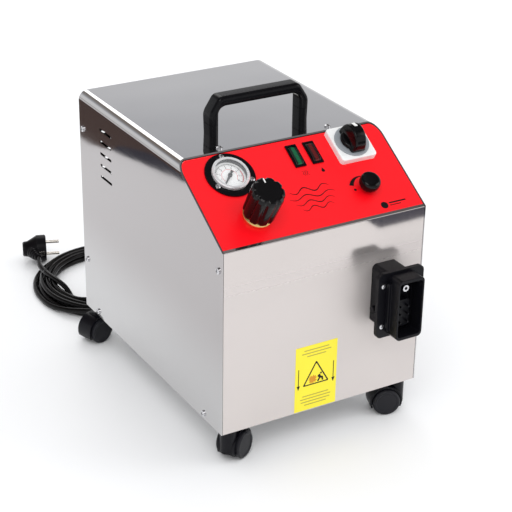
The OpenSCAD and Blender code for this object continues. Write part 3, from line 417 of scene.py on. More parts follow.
def circuit_board(name):
    s = Surface(name)
    tracks = s.number("ShaderNodeTexVoronoi", {"distance": "MANHATTAN"},
                      {"Vector": s.place((1, 1, 0.5)), "Scale": 180.0})
    return s.set(base_color=s.blend(tracks > 0.42, (0.012, 0.13, 0.045), (0.03, 0.24, 0.09)), roughness=0.4,
                 normal=s.relief(tracks, 0.2, 0.0001))


def finishes():
    """Each finish with the function that makes it and what that is told."""
    body = bpy.context.scene.steamer_body
    steel, front, polish = tuple(body.steel), tuple(body.front_steel), body.polish
    return {
        # Painted shade: hood, rear and front are near black on their inner side, and the hood's sides darken
        # towards the roof as a painted dark reflection.
        "hood steel": (sheet_steel, steel, polish, (1, 0.02, 1), None, inside_hood, dusky_sides),
        "rear steel": (sheet_steel, steel, polish, (0.02, 1, 1), None, inside_rear),
        "front steel": (sheet_steel, front, polish, (1, 1, 0.02), satin_front, inside_front),
        "tray steel": (sheet_steel, steel, polish + 0.1, (0.02, 1, 1)),
        "red film": (printed_film, tuple(body.film)),
        "yellow film": (printed_film, tuple(body.label)),
        "dial face": (printed_film, (0.98, 0.975, 0.96), 0.5),
        "black print": (printed_film, (0.007, 0.005, 0.006), 0.4),
        "faint print": (printed_film, (0.46, 0.40, 0.07), 0.45),
        "amber print": (printed_film, (0.70, 0.30, 0.02), 0.45),
        "red print": (printed_film, (0.75, 0.05, 0.06), 0.45),
        "white print": (printed_film, (0.85, 0.85, 0.83), 0.45),
        "black moulding": (moulded, (0.0025, 0.0025, 0.0035), 0.24, 1500, 0.06, 0.04, 0.14),
        "socket moulding": (moulded, (0.004, 0.004, 0.0058), 0.34, 1100, 0.15, 0.0, 0.17),
        "caster moulding": (moulded, (0.002, 0.002, 0.004), 0.3, 1300, 0.1, 0.1, 0.15),
        "tread": (moulded, (0.012, 0.012, 0.015), 0.4, 900, 0.2),
        "black gloss": (moulded, (0.0018, 0.0016, 0.002), 0.16, 700, 0.03, 0.15, 0.15),
        "plug moulding": (moulded, (0.003, 0.0025, 0.0035), 0.32, 1200, 0.12, 0.0, 0.12),
        "needle black": (moulded, (0.002, 0.002, 0.002), 0.4, 1500, 0.1, 0.0, 0.1),
        "dial grey": (moulded, (0.27, 0.29, 0.31), 0.4),
        "dark grey moulding": (moulded, (0.06, 0.06, 0.065), 0.45),
        "white moulding": (moulded, (0.78, 0.78, 0.77), 0.28, 1100, 0.12, 0.3, 0.5),
        "tank moulding": (moulded, (0.72, 0.74, 0.72), 0.5, 400, 0.2),
        "red dip": (moulded, (0.55, 0.01, 0.012), 0.3, 600, 0.1, 0.3),
        "chrome rim": (bright_metal, (0.95, 0.95, 0.96), 0.24, 0.5),
        "zinc": (bright_metal, (0.72, 0.72, 0.74), 0.24),
        "blue zinc": (bright_metal, (0.45, 0.53, 0.66), 0.26),
        "nickel": (bright_metal, (0.78, 0.74, 0.68), 0.2),
        "boiler steel": (bright_metal, (0.62, 0.61, 0.6), 0.34),
        "brass": (bright_metal, (0.80, 0.56, 0.22), 0.2),
        "copper": (bright_metal, (0.82, 0.45, 0.3), 0.28),
        "green lamp": (lamp_plastic, (0.002, 0.12, 0.045), GREEN_AT[0] * MM, 0.05),
        "red lamp": (lamp_plastic, (0.12, 0.0015, 0.002), RED_AT[0] * MM, 0.03),
        "pane": (clear_pane,),
        "cable": (rubber_sheath, (0.002, 0.0018, 0.002)),
        "gasket": (rubber_sheath, (0.02, 0.02, 0.02)),
        "hose": (braided_hose,),
        "board": (circuit_board,),
    }


LOOKS = {}


def look(name):
    """The finish of that name, made the first time it is asked for."""
    if name not in LOOKS:
        maker, *told = finishes()[name]
        LOOKS[name] = maker(name, *told)
    return LOOKS[name]


# ------------------------------------------------------------ shapes


def corner_normals(bm, crease):
    """A normal for each face corner that follows the larger faces, so flat faces stay flat beside bevels."""
    bm.normal_update()
    for face in bm.faces:
        face.smooth = True
    for edge in bm.edges:
        edge.smooth = len(edge.link_faces) == 2 and edge.calc_face_angle(0) < crease
    numbers = {loop: i for i, loop in enumerate(loop for face in bm.faces for loop in face.loops)}
    normals = [None] * len(numbers)
    for vert in bm.verts:
        waiting = set(vert.link_loops)
        while waiting:
            fan = [waiting.pop()]
            for loop in fan:
                for edge in (loop.edge, loop.link_loop_prev.edge):
                    if edge.smooth:
                        reached = [c for f in edge.link_faces for c in f.loops if c in waiting]
                        waiting.difference_update(reached)
                        fan.extend(reached)
            total = sum((loop.face.normal * loop.face.calc_area() for loop in fan), Vector())
            for loop in fan:
                normals[numbers[loop]] = total.normalized()
    return normals


def keep(name, bm, looks, body, stands_for=(), crease=35, place=None):
    """Turns a bmesh into a finished piece that rides on a body."""
    if place is not None:
        bm.transform(place)
    corners = corner_normals(bm, math.radians(crease))
    mesh = bpy.data.meshes.new(name)
    bm.to_mesh(mesh)
    bm.free()
    for wanted in looks:
        mesh.materials.append(look(wanted))
    mesh.normals_split_custom_set(corners)
    piece = bpy.data.objects.new(name, mesh)
    bpy.context.scene.collection.objects.link(piece)
    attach(piece, body)
    if stands_for:
        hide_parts(*stands_for)
    return piece


def outwards(bm):
    bmesh.ops.remove_doubles(bm, verts=bm.verts, dist=1e-6)
    bmesh.ops.recalc_face_normals(bm, faces=bm.faces)


def soften(bm, edges, width, segments=3):
    bmesh.ops.bevel(bm, geom=edges, offset=width, offset_type="OFFSET", segments=segments, profile=0.5,
                    affect="EDGES", clamp_overlap=True, material=-1)


def sharp_edges(bm, angle=40):
    limit = math.radians(angle)
    return [e for e in bm.edges if len(e.link_faces) == 2 and e.calc_face_angle(0) > limit]


def kind_of(kind, geometry):
    """The vertices, edges or faces among what an operator returned."""
    return [g for g in geometry if isinstance(g, kind)]


def pull(bm, along):
    """Pulls all faces along a vector into a closed shell."""
    grown = bmesh.ops.extrude_face_region(bm, geom=bm.faces[:], use_keep_orig=True)
    bmesh.ops.translate(bm, vec=along, verts=kind_of(bmesh.types.BMVert, grown["geom"]))
    outwards(bm)


def thicken(bm, thick):
    bmesh.ops.recalc_face_normals(bm, faces=bm.faces)
    pull(bm, (0, 0, thick))


def in_mm(*points):
    return [tuple(c * MM for c in point) for point in points]


def round_corners(bm, corners, radius, steps):
    bmesh.ops.bevel(bm, geom=corners, offset=radius, offset_type="OFFSET", segments=steps, profile=0.5,
                    affect="VERTICES", clamp_overlap=True, material=-1)


def outline_slab(points, depth, corner=0.0, steps=4):
    """A slab on the XY plane from an outline, with its corners rounded."""
    bm = bmesh.new()
    bm.faces.new([bm.verts.new((x, y, 0)) for x, y in points])
    if corner:
        round_corners(bm, bm.verts[:], corner, steps)
    pull(bm, (0, 0, depth))
    return bm


def rounded_slab(width, length, depth, corner, edge, z=0.0, steps=5):
    """A slab with round corners and a soft upper edge."""
    w, l = width / 2, length / 2
    bm = outline_slab([(-w, -l), (w, -l), (w, l), (-w, l)], depth, corner, steps)
    if edge:
        soften(bm, [e for e in sharp_edges(bm) if all(v.co.z > depth * 0.9 for v in e.verts)], edge)
    bmesh.ops.translate(bm, vec=(0, 0, z), verts=bm.verts)
    return bm


def turned(profile, steps=64):
    """A turned shape from (radius, height) points."""
    bm = bmesh.new()
    line = [bm.verts.new((r, 0, z)) for r, z in profile]
    edges = [bm.edges.new(pair) for pair in zip(line, line[1:])]
    bmesh.ops.spin(bm, geom=line + edges, cent=(0, 0, 0), axis=(0, 0, 1), angle=math.tau, steps=steps,
                   use_merge=True)
    outwards(bm)
    return bm


def swept(inner, outer, start, sweep, z=0.0, steps=24):
    """A flat band round the origin."""
    bm = bmesh.new()
    a = math.radians(start)
    ends = [bm.verts.new((r * math.cos(a), r * math.sin(a), z)) for r in (inner, outer)]
    edge = bm.edges.new(ends)
    bmesh.ops.spin(bm, geom=ends + [edge], cent=(0, 0, 0), axis=(0, 0, 1), angle=math.radians(sweep),
                   steps=steps)
    return bm


def arc_print(inner, outer, start, sweep, z):
    """A printed band round the origin."""
    bm = swept(inner, outer, start, sweep, z)
    thicken(bm, INK)
    return bm


def join(*parts):
    """One bmesh from several, each with its material number."""
    whole = bmesh.new()
    for bm, number in parts:
        for face in bm.faces:
            face.material_index = number
        carrier = bpy.data.meshes.new("carrier")
        bm.to_mesh(carrier)
        bm.free()
        whole.from_mesh(carrier)
        bpy.data.meshes.remove(carrier)
    return whole


def moved(bm, x=0.0, y=0.0, z=0.0, turn=0.0):
    bm.transform(Matrix.Translation((x, y, z)) @ Matrix.Rotation(math.radians(turn), 4, "Z"))
    return bm


def bar(x0, x1, y0, y1, z=0.0):
    """A printed bar."""
    return moved(outline_slab([(x0, y0), (x1, y0), (x1, y1), (x0, y1)], INK), z=z)


def dot(radius, steps, thick=INK):
    """A printed dot."""
    return turned([(0, 0), (radius, 0), (radius, thick), (0, thick)], steps)


def dress(finish, *nodes):
    """Gives CAD nodes their finish."""
    for node in nodes:
        NODES[node].data.materials.clear()
        NODES[node].data.materials.append(look(finish))


def softened(node, finish, width, body, segments=2, angle=40):
    """A copy of a CAD node with its sharp edges rounded."""
    bm = bmesh.new()
    bm.from_mesh(NODES[node].data)
    bmesh.ops.remove_doubles(bm, verts=bm.verts, dist=2e-6)
    bmesh.ops.dissolve_limit(bm, angle_limit=math.radians(0.6), verts=bm.verts[:], edges=bm.edges[:])
    soften(bm, sharp_edges(bm, angle), width, segments)
    return keep(node + "_soft", bm, [finish], body, stands_for=[node], crease=32)


# ------------------------------------------------------------ operators


class SteamerOperator:
    bl_options = {"REGISTER", "UNDO"}

    def execute(self, context):
        self.make(context.scene)
        return {"FINISHED"}


# What the steel mirrors, from the horizon to straight above
MIRRORED_ROOM = (
    (0.0, (0.80, 0.80, 0.80)), (0.29, (0.86, 0.86, 0.88)), (0.40, (0.46, 0.47, 0.50)),
    (0.47, (0.30, 0.28, 0.27)), (0.56, (0.23, 0.19, 0.165)), (0.78, (0.09, 0.08, 0.075)),
    (1.0, (0.40, 0.40, 0.42)),
)
# Dark boards on the floor: name, height, colour and outline in metres
CARDS = (
    ("beyond the table", 0.002, (0.085, 0.05, 0.041),
     ((-0.421, 1.8), (-0.423, 0.81), (-0.43, 0.785), (-0.462, 0.745), (-0.53, 0.585), (-0.6, 0.45),
      (-1.1, 0.45), (-1.1, 1.8))),
    ("table edge", 0.003, (0.035, 0.035, 0.055),
     ((-0.447, 0.762), (-0.47, 0.778), (-0.54, 0.6), (-0.525, 0.55), (-0.487, 0.585))),
    ("beside the camera", 0.002, (0.07, 0.07, 0.095),
     ((0.4, -1.74), (1.32, -1.74), (1.32, -0.64), (0.4, -0.64))),
)
# What the lights aim at
LIT_POINT = Vector((0, 0, 0.2))
# The camera's turn, rise and roll in degrees, and where it stands
VIEW_ANGLES = (-30.645, 25.879, 0.918)
VIEW_FROM = Vector((LEFT - 714.5 * MM, FRONT - 1277.1 * MM, BASE + 939.15 * MM))


class STEAMER_OT_stage(SteamerOperator, Operator):
    """Camera, floor and soft light"""

    bl_idname = "steamer.stage"
    bl_label = "Stage"

    def make(self, scene):
        settings = scene.steamer_stage
        scene.view_settings.view_transform = "Standard"
        self.camera(scene, settings.lens)
        self.floor(scene)
        self.cards(scene)
        self.light(scene, "key", (-1.4, -1.9, 2.6), 1.8, settings.soft_box)
        self.light(scene, "fill", (1.9, -1.3, 1.5), 1.4, settings.soft_box * 0.35)
        self.light(scene, "back", (0.6, 2.4, 2.2), 1.6, settings.soft_box * 0.5)
        self.room(scene, settings.room)

    def camera(self, scene, lens):
        azimuth, elevation, roll = (math.radians(a) for a in VIEW_ANGLES)
        back = Vector((math.sin(azimuth) * math.cos(elevation), -math.cos(azimuth) * math.cos(elevation),
                       math.sin(elevation)))
        right = Vector((math.cos(azimuth), math.sin(azimuth), 0))
        up = back.cross(right)
        across = right * math.cos(roll) + up * math.sin(roll)
        above = up * math.cos(roll) - right * math.sin(roll)
        camera = bpy.data.objects.new("camera", bpy.data.cameras.new("camera"))
        camera.data.lens = lens
        camera.data.sensor_width = 36
        camera.data.clip_start = 0.05
        turn = Matrix((across, above, back)).transposed().to_4x4()
        camera.matrix_world = Matrix.Translation(VIEW_FROM) @ turn
        scene.collection.objects.link(camera)
        scene.camera = camera

    def room(self, scene, strength):
        """White all round, but what is mirrored grows dark above the table and paler at the ceiling."""
        world = bpy.data.worlds.new("room")
        scene.world = world
        world.use_nodes = True
        world.cycles.sampling_method = "NONE"
        sky = Nodes(world.node_tree)
        heading = sky.add("ShaderNodeTexCoord").outputs["Generated"]
        height = sky.add("ShaderNodeSeparateXYZ", inputs={0: heading}).outputs["Z"]
        mirrored = sky.add("ShaderNodeValToRGB", {"stops": MIRRORED_ROOM}, {0: height}).outputs[0]
        glossy = sky.add("ShaderNodeLightPath").outputs["Is Glossy Ray"]
        background = world.node_tree.nodes["Background"]
        sky.feed(background, "Color", sky.blend(glossy, (0.97, 0.98, 1.0), mirrored))
        sky.feed(background, "Strength", strength)

    def floor(self, scene):
        bm = bmesh.new()
        bmesh.ops.create_circle(bm, cap_ends=True, segments=64, radius=6)
        mesh = bpy.data.meshes.new("floor")
        bmesh.ops.translate(bm, vec=(0, 0, -0.0002), verts=bm.verts)
        bm.to_mesh(mesh)
        bm.free()
        s = Surface("floor paint")
        mesh.materials.append(s.set(base_color=(0.93, 0.93, 0.93), roughness=0.6))
        floor = bpy.data.objects.new("floor", mesh)
        scene.collection.objects.link(floor)

    def cards(self, scene):
        """Dark boards that only the polished sheet sees, where the white table ends."""
        for name, height, shade, outline in CARDS:
            bm = bmesh.new()
            bm.faces.new([bm.verts.new((x, y, height)) for x, y in outline])
            mesh = bpy.data.meshes.new(name)
            bm.to_mesh(mesh)
            bm.free()
            s = Surface(name)
            mesh.materials.append(s.set(base_color=shade, roughness=0.9))
            card = bpy.data.objects.new(name, mesh)
            scene.collection.objects.link(card)
            card.visible_camera = card.visible_shadow = card.visible_diffuse = False

    def light(self, scene, name, spot, size, power):
        lamp = bpy.data.objects.new(name, bpy.data.lights.new(name, "AREA"))
        lamp.data.shape = "DISK"
        lamp.data.size = size
        lamp.data.energy = power
        lamp.location = spot
        lamp.rotation_mode = "QUATERNION"
        lamp.rotation_quaternion = (LIT_POINT - Vector(spot)).to_track_quat("-Z", "Y")
        scene.collection.objects.link(lamp)


# The lead's route behind the machine, in millimetres: x, y from the rear face, z from the floor
LEAD_START = [(30, 28, 85), (30, 41, 84), (26, 53, 81), (17, 61, 75), (5, 65, 67), (-9, 65, 58),
              (-23, 62, 49), (-37, 58, 41), (-51, 55, 33), (-65, 53, 26)]
LEAD_END = [(-126, 163, 19.4), (-126, 178, 19.4), (-123, 193, 19.5), (-117, 209, 19.5)]
COIL_CENTRE = (-40, 118)
PLUG_FACE = (-94, 236)
PLUG_TURN = -20
# Where the lead lands on the coil and where it rises off it: angle, radius and height
LANDING = [(238, 73.7, 20.5), (228, 77, 16), (219, 81, 13), (210, 84.5, 11.8)]
RISING = [(198, 79.6, 5.8), (190, 76.8, 10), (182, 77, 14.4), (174, 80.5, 17.6), (166.5, 85.5, 19.1),
          (159, 91.5, 19.4), (152, 98, 19.4)]


def behind(x, y, z):
    return Vector((x * MM, REAR + y * MM, z * MM))


def coil_point(angle, radius, height):
    a = math.radians(angle)
    return behind(COIL_CENTRE[0] + radius * math.cos(a), COIL_CENTRE[1] + radius * math.sin(a), height)


def smooth_line(points, steps):
    """Points along a smooth curve through the given ones."""
    line = []
    padded = [points[0] * 2 - points[1], *points, points[-1] * 2 - points[-2]]
    for a, b, c, d in zip(padded, padded[1:], padded[2:], padded[3:]):
        for i in range(steps):
            t = i / steps
            line.append(0.5 * ((2 * b) + (c - a) * t + (2 * a - 5 * b + 4 * c - d) * t * t
                               + (3 * b - a - 3 * c + d) * t ** 3))
    return [*line, points[-1]]


class STEAMER_OT_mains_lead(SteamerOperator, Operator):
    """Mains lead, its coil, gland and plug"""

    bl_idname = "steamer.mains_lead"
    bl_label = "Mains lead"

    def make(self, scene):
        settings = scene.steamer_lead
        path = self.route(settings)
        data = bpy.data.curves.new("mains_lead", "CURVE")
        data.dimensions = "3D"
        data.bevel_depth = settings.thickness / 2
        data.bevel_resolution = 3
        data.use_fill_caps = True
        spline = data.splines.new("POLY")
        spline.points.add(len(path) - 1)
        for point, place in zip(spline.points, path):
            point.co = (*place, 1)
        data.materials.append(look("cable"))
        lead = bpy.data.objects.new("mains_lead", data)
        scene.collection.objects.link(lead)
        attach(lead, "machine")
        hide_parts("cord_lead", "cord_coil", "cord_tail")
        plug = self.plug()
        length = sum((b - a).length for a, b in zip(path, path[1:]))
        dress("nickel", "plug_pins")
        softened("cord_gland", "black moulding", 0.5 * MM, "machine")

    def route(self, settings):
        per_turn = 20
        upper, lower = settings.turns_high, settings.turns_low
        points = [behind(*p) for p in LEAD_START] + [coil_point(*p) for p in LANDING]
        count = round(upper * per_turn)
        start = 200
        for i in range(count + 1):
            turn = upper * i / count
            points.append(coil_point(start - 360 * turn, 85.6 + 7.6 * turn, 11.6))
        angle = start - 360 * upper
        for step, (radius, height) in enumerate(((110.4, 11.2), (113.2, 8.6), (113.4, 5.4)), 1):
            points.append(coil_point(angle - 12.5 * step, radius, height))
        angle -= 50
        count = round(lower * per_turn)
        for i in range(count + 1):
            turn = lower * i / count
            points.append(coil_point(angle - 360 * turn, 112.2 - 7.6 * turn, 3.8))
        points += [coil_point(*p) for p in RISING]
        points += [behind(*p) for p in LEAD_END]
        return smooth_line(points, 3)

    def plug(self):
        """The round plug: a turned face block with two side clips, a tapered back and a ribbed side exit."""
        r = 19.5
        block = turned(in_mm((0, 0), (r - 2.2, 0), (r - 0.6, 0.6), (r, 2), (r, 13.5), (r - 1.2, 15),
                             (r - 8, 27), (r - 8.7, 32.5), (r - 10.2, 34), (0, 34)), 40)
        turn = math.radians(PLUG_TURN)
        place = Matrix.Translation(behind(*PLUG_FACE, 19.5)) @ Matrix.Rotation(turn, 4, "Z")
        block.transform(place @ Matrix.Rotation(math.radians(-90), 4, "Y"))
        clips = []
        for side in (-1, 1):
            clip = rounded_slab(6 * MM, 12 * MM, 0.6 * MM, 0.8 * MM, 0.2 * MM)
            clip.transform(place @ Matrix.Translation((-8 * MM, side * (r - 0.3) * MM, 0))
                           @ Matrix.Rotation(math.radians(-90 * side), 4, "X")
                           @ Matrix.Rotation(math.radians(90), 4, "Z"))
            clips.append((clip, 1))
        end = behind(*LEAD_END[-1])
        start = behind(PLUG_FACE[0] - 24 * math.cos(turn), PLUG_FACE[1] - 24 * math.sin(turn), 19.5)
        length = (end - start).length
        ribs = [(0, 0), (9 * MM, 0), (8.6 * MM, length * 0.42)]
        for i in range(4):
            z = length * (0.46 + i * 0.125)
            wide = (8.3 - i * 0.85) * MM
            ribs += [(wide - 1.3 * MM, z), (wide - 1.3 * MM, z + length * 0.03), (wide, z + length * 0.04),
                     (wide - 0.2 * MM, z + length * 0.105)]
        ribs += [(4.6 * MM, length), (0, length)]
        relief = turned(ribs, 32)
        aim = (end - start).to_track_quat("Z", "Y").to_matrix().to_4x4()
        relief.transform(Matrix.Translation(start) @ aim)
        return keep("plug", join((block, 0), *clips, (relief, 0)), ["plug moulding", "nickel"], "machine",
                    ["plug_body"], 30)


class STEAMER_OT_housing(SteamerOperator, Operator):
    """Steel housing and its screws"""

    bl_idname = "steamer.housing"
    bl_label = "Housing"

    def make(self, scene):
        dress("hood steel", "hood")
        dress("rear steel", "rear_panel")
        dress("front steel", "front_panel")
        dress("tray steel", "base_tray")
        dress("zinc", "housing_screws", "flange_screws")


class STEAMER_OT_handle(SteamerOperator, Operator):
    """Carrying handle"""

    bl_idname = "steamer.handle"
    bl_label = "Handle"

    def make(self, scene):
        settings = scene.steamer_handle
        low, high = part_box("carry_handle")
        w, h, depth = high.x, high.z - low.z, high.y - low.y
        leg, top, shoulder = w - 12 * MM, w - 13 * MM, h - 20 * MM
        outline = [(-w + 1 * MM, 0), (-w, shoulder), (-top, h), (top, h), (w, shoulder), (w - 1 * MM, 0),
                   (leg, 0), (leg, h - 17 * MM), (leg - 6 * MM, h - 12 * MM), (-leg + 6 * MM, h - 12 * MM),
                   (-leg, h - 17 * MM), (-leg, 0)]
        bm = bmesh.new()
        bm.faces.new([bm.verts.new((x, 0, z)) for x, z in outline])
        for wanted, radius in (((1, 2, 3, 4), settings.shoulder), ((7, 8, 9, 10), 5 * MM)):
            places = [Vector((outline[i][0], 0, outline[i][1])) for i in wanted]
            round_corners(bm, [v for v in bm.verts for p in places if (v.co - p).length < 1e-6], radius, 5)
        pull(bm, (0, depth, 0))
        rim = [e for e in bm.edges if abs(e.verts[0].co.y - e.verts[1].co.y) < 1e-6
               and max(v.co.z for v in e.verts) > 1e-5]
        soften(bm, rim, settings.grip_edge, 4)
        for height in (14.0 * MM, 14.7 * MM):
            bmesh.ops.bisect_plane(bm, geom=[*bm.verts, *bm.edges, *bm.faces], plane_co=(0, 0, height),
                                   plane_no=(0, 0, 1))
        joint = [f for f in bm.faces
                 if 14 * MM < f.calc_center_median().z < 14.7 * MM and abs(f.normal.z) < 0.5]
        bmesh.ops.inset_region(bm, faces=joint, thickness=0, depth=-0.5 * MM, use_even_offset=True)
        keep("handle", bm, ["black moulding"], "machine", ["carry_handle"], 40,
             Matrix.Translation((0, low.y, low.z)))


class STEAMER_OT_overlay(SteamerOperator, Operator):
    """Red film and its prints"""

    bl_idname = "steamer.overlay"
    bl_label = "Control film"

    def make(self, scene):
        dress("red film", "control_overlay")
        self.printed("flow_marks", FLOW_AT, self.crescent(), moved(dot(1.6 * MM, 20), x=-16 * MM))
        self.printed("steam_icon", (10.4, 78), *[self.wavy(x) for x in (-2.6, 0, 2.6)])
        self.printed("drop_icon", (33.5, 76.5), self.drop())
        self.printed("maker_mark", (84, 13), dot(4.6 * MM, 32), bar(7 * MM, 30 * MM, 0.8 * MM, 2.6 * MM),
                     bar(7 * MM, 22 * MM, -2.2 * MM, -1.2 * MM))
        waves = [moved(self.wavy(0, 3.4, 52, 1.6), turn=-90)]
        for i in range(3):
            waves.append(moved(self.wavy(0, 2.6, 60 - 9 * i, 1.3), y=(-9 - 8 * i) * MM, turn=-90))
        self.printed("plume_print", (4, 56), *waves)

    def printed(self, name, spot, *shapes):
        """Black print on the film."""
        keep(name, join(*[(shape, 0) for shape in shapes]), ["black print"], "machine",
             place=panel_place(*spot, FILM))

    def wavy(self, x, swing=0.9, length=8.0, width=0.8):
        """A printed wavy line."""
        bm = bmesh.new()
        bmesh.ops.create_grid(bm, x_segments=1, y_segments=36, size=0.5)
        for v in bm.verts:
            t = v.co.y
            thin = 1 - 0.7 * abs(2 * t) ** 2
            across = x + swing * math.sin(t * 4 * math.pi) + v.co.x * width * thin
            v.co = Vector((across * MM, t * length * MM, 0))
        thicken(bm, INK)
        return bm

    def drop(self):
        bm = bmesh.new()
        bmesh.ops.create_circle(bm, cap_ends=True, segments=24, radius=2.2 * MM)
        for v in bm.verts:
            if v.co.y > 0:
                v.co.x *= 1 - v.co.y / (2.3 * MM) * 0.95
                v.co.y *= 2.0
        thicken(bm, INK)
        return bm

    def crescent(self):
        """A band round the small knob that grows from nothing to its full width."""
        start, sweep = 88, 72
        bm = swept(16 * MM, 21.5 * MM, start, sweep, steps=18)
        for v in bm.verts:
            if v.co.length > 17 * MM:
                share = (math.degrees(math.atan2(v.co.y, v.co.x)) - start) / sweep
                v.co = v.co.normalized() * (16.5 + 5 * max(0.0, share)) * MM
        thicken(bm, INK)
        return bm


class STEAMER_OT_label(SteamerOperator, Operator):
    """Front label with a generic sign"""

    bl_idname = "steamer.label"
    bl_label = "Label"

    def make(self, scene):
        dress("yellow film", "warning_label")
        low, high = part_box("warning_label")
        x, z = (low.x + high.x) / 2, (low.z + high.z) / 2
        r = 21 * MM
        corners = [(r * math.cos(math.radians(a)), r * math.sin(math.radians(a))) for a in (90, 210, 330)]
        sign = outline_slab(corners, INK, 2.2 * MM, 4)
        inner = outline_slab([(p * 0.84, q * 0.84) for p, q in corners], INK * 2, 1.2 * MM, 3)
        rays = []
        for i in range(22):
            reach, turn = r * (0.30 if i % 2 else 0.17 + 0.03 * (i % 3)), i * math.tau / 22
            rays.append((reach * math.cos(turn), reach * math.sin(turn)))
        burst = moved(outline_slab(rays, INK * 3), x=-4.6 * MM, y=-3.2 * MM)
        head = moved(dot(1.3 * MM, 16, INK * 3), x=6.8 * MM, y=2.6 * MM)
        figure = outline_slab(in_mm(
            (2.6, 0.4), (5.2, 1.6), (6.8, -1.6), (9.6, -2.6), (10.2, -7.6), (8.2, -7.6), (7.6, -4.4),
            (5.8, -4.2), (3.4, -8.2), (1.6, -7.2), (4.2, -3.0), (2.2, -1.4)), INK * 4)
        parts = [(sign, 0), (inner, 1), (burst, 3), (figure, 0), (head, 0)]
        for s in (-24, 24):
            parts.append((bar((s - 0.5) * MM, (s + 0.5) * MM, -8 * MM, 14 * MM), 0))
            parts.append((outline_slab(in_mm((s - 2.2, -8), (s, -14), (s + 2.2, -8)), INK), 0))
        for width, y in ((34, 37), (40, 33), (26, 29), (36, -24), (42, -28), (40, -32), (30, -36)):
            parts.append((bar(-width / 2 * MM, width / 2 * MM, (y - 0.6) * MM, (y + 0.6) * MM), 2))
        keep("label_print", join(*parts), ["black print", "yellow film", "faint print", "amber print"],
             "machine",
             place=Matrix.Translation((x, low.y, z)) @ Matrix.Rotation(math.radians(90), 4, "X"))


class STEAMER_OT_gauge(SteamerOperator, Operator):
    """Pressure gauge"""

    bl_idname = "steamer.gauge"
    bl_label = "Gauge"

    def make(self, scene):
        softened("gauge_case", "black moulding", 0.4 * MM, "machine")
        dress("chrome rim", "gauge_bezel")
        dress("dial face", "gauge_dial")
        hub = turned(in_mm((0, -6), (1.1, -6), (1.1, 0.6), (2.5, 0.6), (2.5, 2.2), (2.0, 2.6), (0, 2.6)), 32)
        hand = outline_slab(in_mm((-7.5, -1.9), (-7.5, 1.9), (-4, 1.1), (0, 1.5), (13.4, 0.75), (14, 0),
                                  (13.4, -0.75), (0, -1.5), (-4, -1.1)), 0.7 * MM)
        keep("gauge_hand", join((hub, 0), (moved(hand, z=0.8 * MM, turn=225), 0)), ["needle black"],
             "gauge_pointer", ["gauge_needle"], place=panel_place(*GAUGE_AT))
        dress("pane", "gauge_lens")
        face = -0.79 * MM
        steps = scene.steamer_controls.scale_steps
        parts = [(arc_print(15.6 * MM, 16.6 * MM, -45, 60, face), 1),
                 (arc_print(16.2 * MM, 16.6 * MM, 15, 210, face), 0),
                 (arc_print(9.2 * MM, 9.6 * MM, -45, 270, face), 1)]
        for i in range(steps * 5 + 1):
            long = i % 5 == 0
            tick = bar((13.2 if long else 14.8) * MM, 16.4 * MM, -0.22 * MM if long else -0.1 * MM,
                       0.22 * MM if long else 0.1 * MM, face)
            parts.append((moved(tick, turn=225 - 270 * i / (steps * 5)), 0))
        for i in range(steps + 1):
            parts.append((self.digit(str(i), 225 - 270 * i / steps, face), 0))
        keep("gauge_print", join(*parts), ["black print", "red print"], "machine",
             place=panel_place(*GAUGE_AT))

    def digit(self, text, angle, z):
        curve = bpy.data.curves.new("digit", "FONT")
        curve.body = text
        curve.size = 3.6 * MM
        curve.extrude = 0.05 * MM
        curve.align_x = "CENTER"
        curve.align_y = "CENTER"
        carrier = bpy.data.objects.new("digit", curve)
        mesh = bpy.data.meshes.new_from_object(carrier)
        bm = bmesh.new()
        bm.from_mesh(mesh)
        bpy.data.meshes.remove(mesh)
        bpy.data.objects.remove(carrier)
        bpy.data.curves.remove(curve)
        a = math.radians(angle)
        return moved(bm, 11.4 * MM * math.cos(a), 11.4 * MM * math.sin(a), z + 0.06 * MM)


class STEAMER_OT_steam_knob(SteamerOperator, Operator):
    """Steam knob and its valve"""

    bl_idname = "steamer.steam_knob"
    bl_label = "Steam knob"

    def make(self, scene):
        settings = scene.steamer_controls
        radius, foot, height = 19.5 * MM, 7.7 * MM, 42 * MM
        bm = bmesh.new()
        bmesh.ops.create_circle(bm, cap_ends=True, segments=settings.lobes * 12, radius=radius)
        for v in bm.verts:
            turn = math.atan2(v.co.y, v.co.x) * settings.lobes
            v.co *= 1 - settings.lobe_depth / radius * max(0.0, math.cos(turn)) ** 1.6
        levels = [(1.6, 0.965), (4, 0.975), (36, 1.0), (39, 0.975), (40.8, 0.925), (41.8, 0.84), (42.0, 0.74),
                  (41.3, 0.66), (41.2, 0.0)]
        faces = bm.faces[:]
        bmesh.ops.scale(bm, vec=(0.93, 0.93, 1), verts=bm.verts)
        before, size = 0.0, 0.93
        for z, share in levels:
            grown = bmesh.ops.extrude_face_region(bm, geom=faces)
            faces = kind_of(bmesh.types.BMFace, grown["geom"])
            rim = kind_of(bmesh.types.BMVert, grown["geom"])
            bmesh.ops.translate(bm, vec=(0, 0, (z - before) * MM), verts=rim)
            grow = max(share, 0.02) / size
            bmesh.ops.scale(bm, vec=(grow, grow, 1), verts=rim)
            before, size = z, max(share, 0.02)
        outwards(bm)
        cap = turned(in_mm((0, 0), (9, 0), (9, 0.5), (8.6, 0.9), (0, 1.0)), 48)
        moved(cap, z=41.1 * MM)
        mark = moved(rounded_slab(1.5 * MM, 6 * MM, 0.4 * MM, 0.5 * MM, 0.1 * MM), y=13.2 * MM, z=41.75 * MM)
        keep("steam_knob_fluted", join((bm, 0), (cap, 0), (mark, 1)), ["black gloss", "white print"],
             "steam_control", ["steam_knob"], 40, panel_place(*STEAM_AT, foot / MM))
        dress("brass", "valve_body")
        softened("valve_collar", "brass", 0.4 * MM, "machine")
        dress("zinc", "valve_spindle")


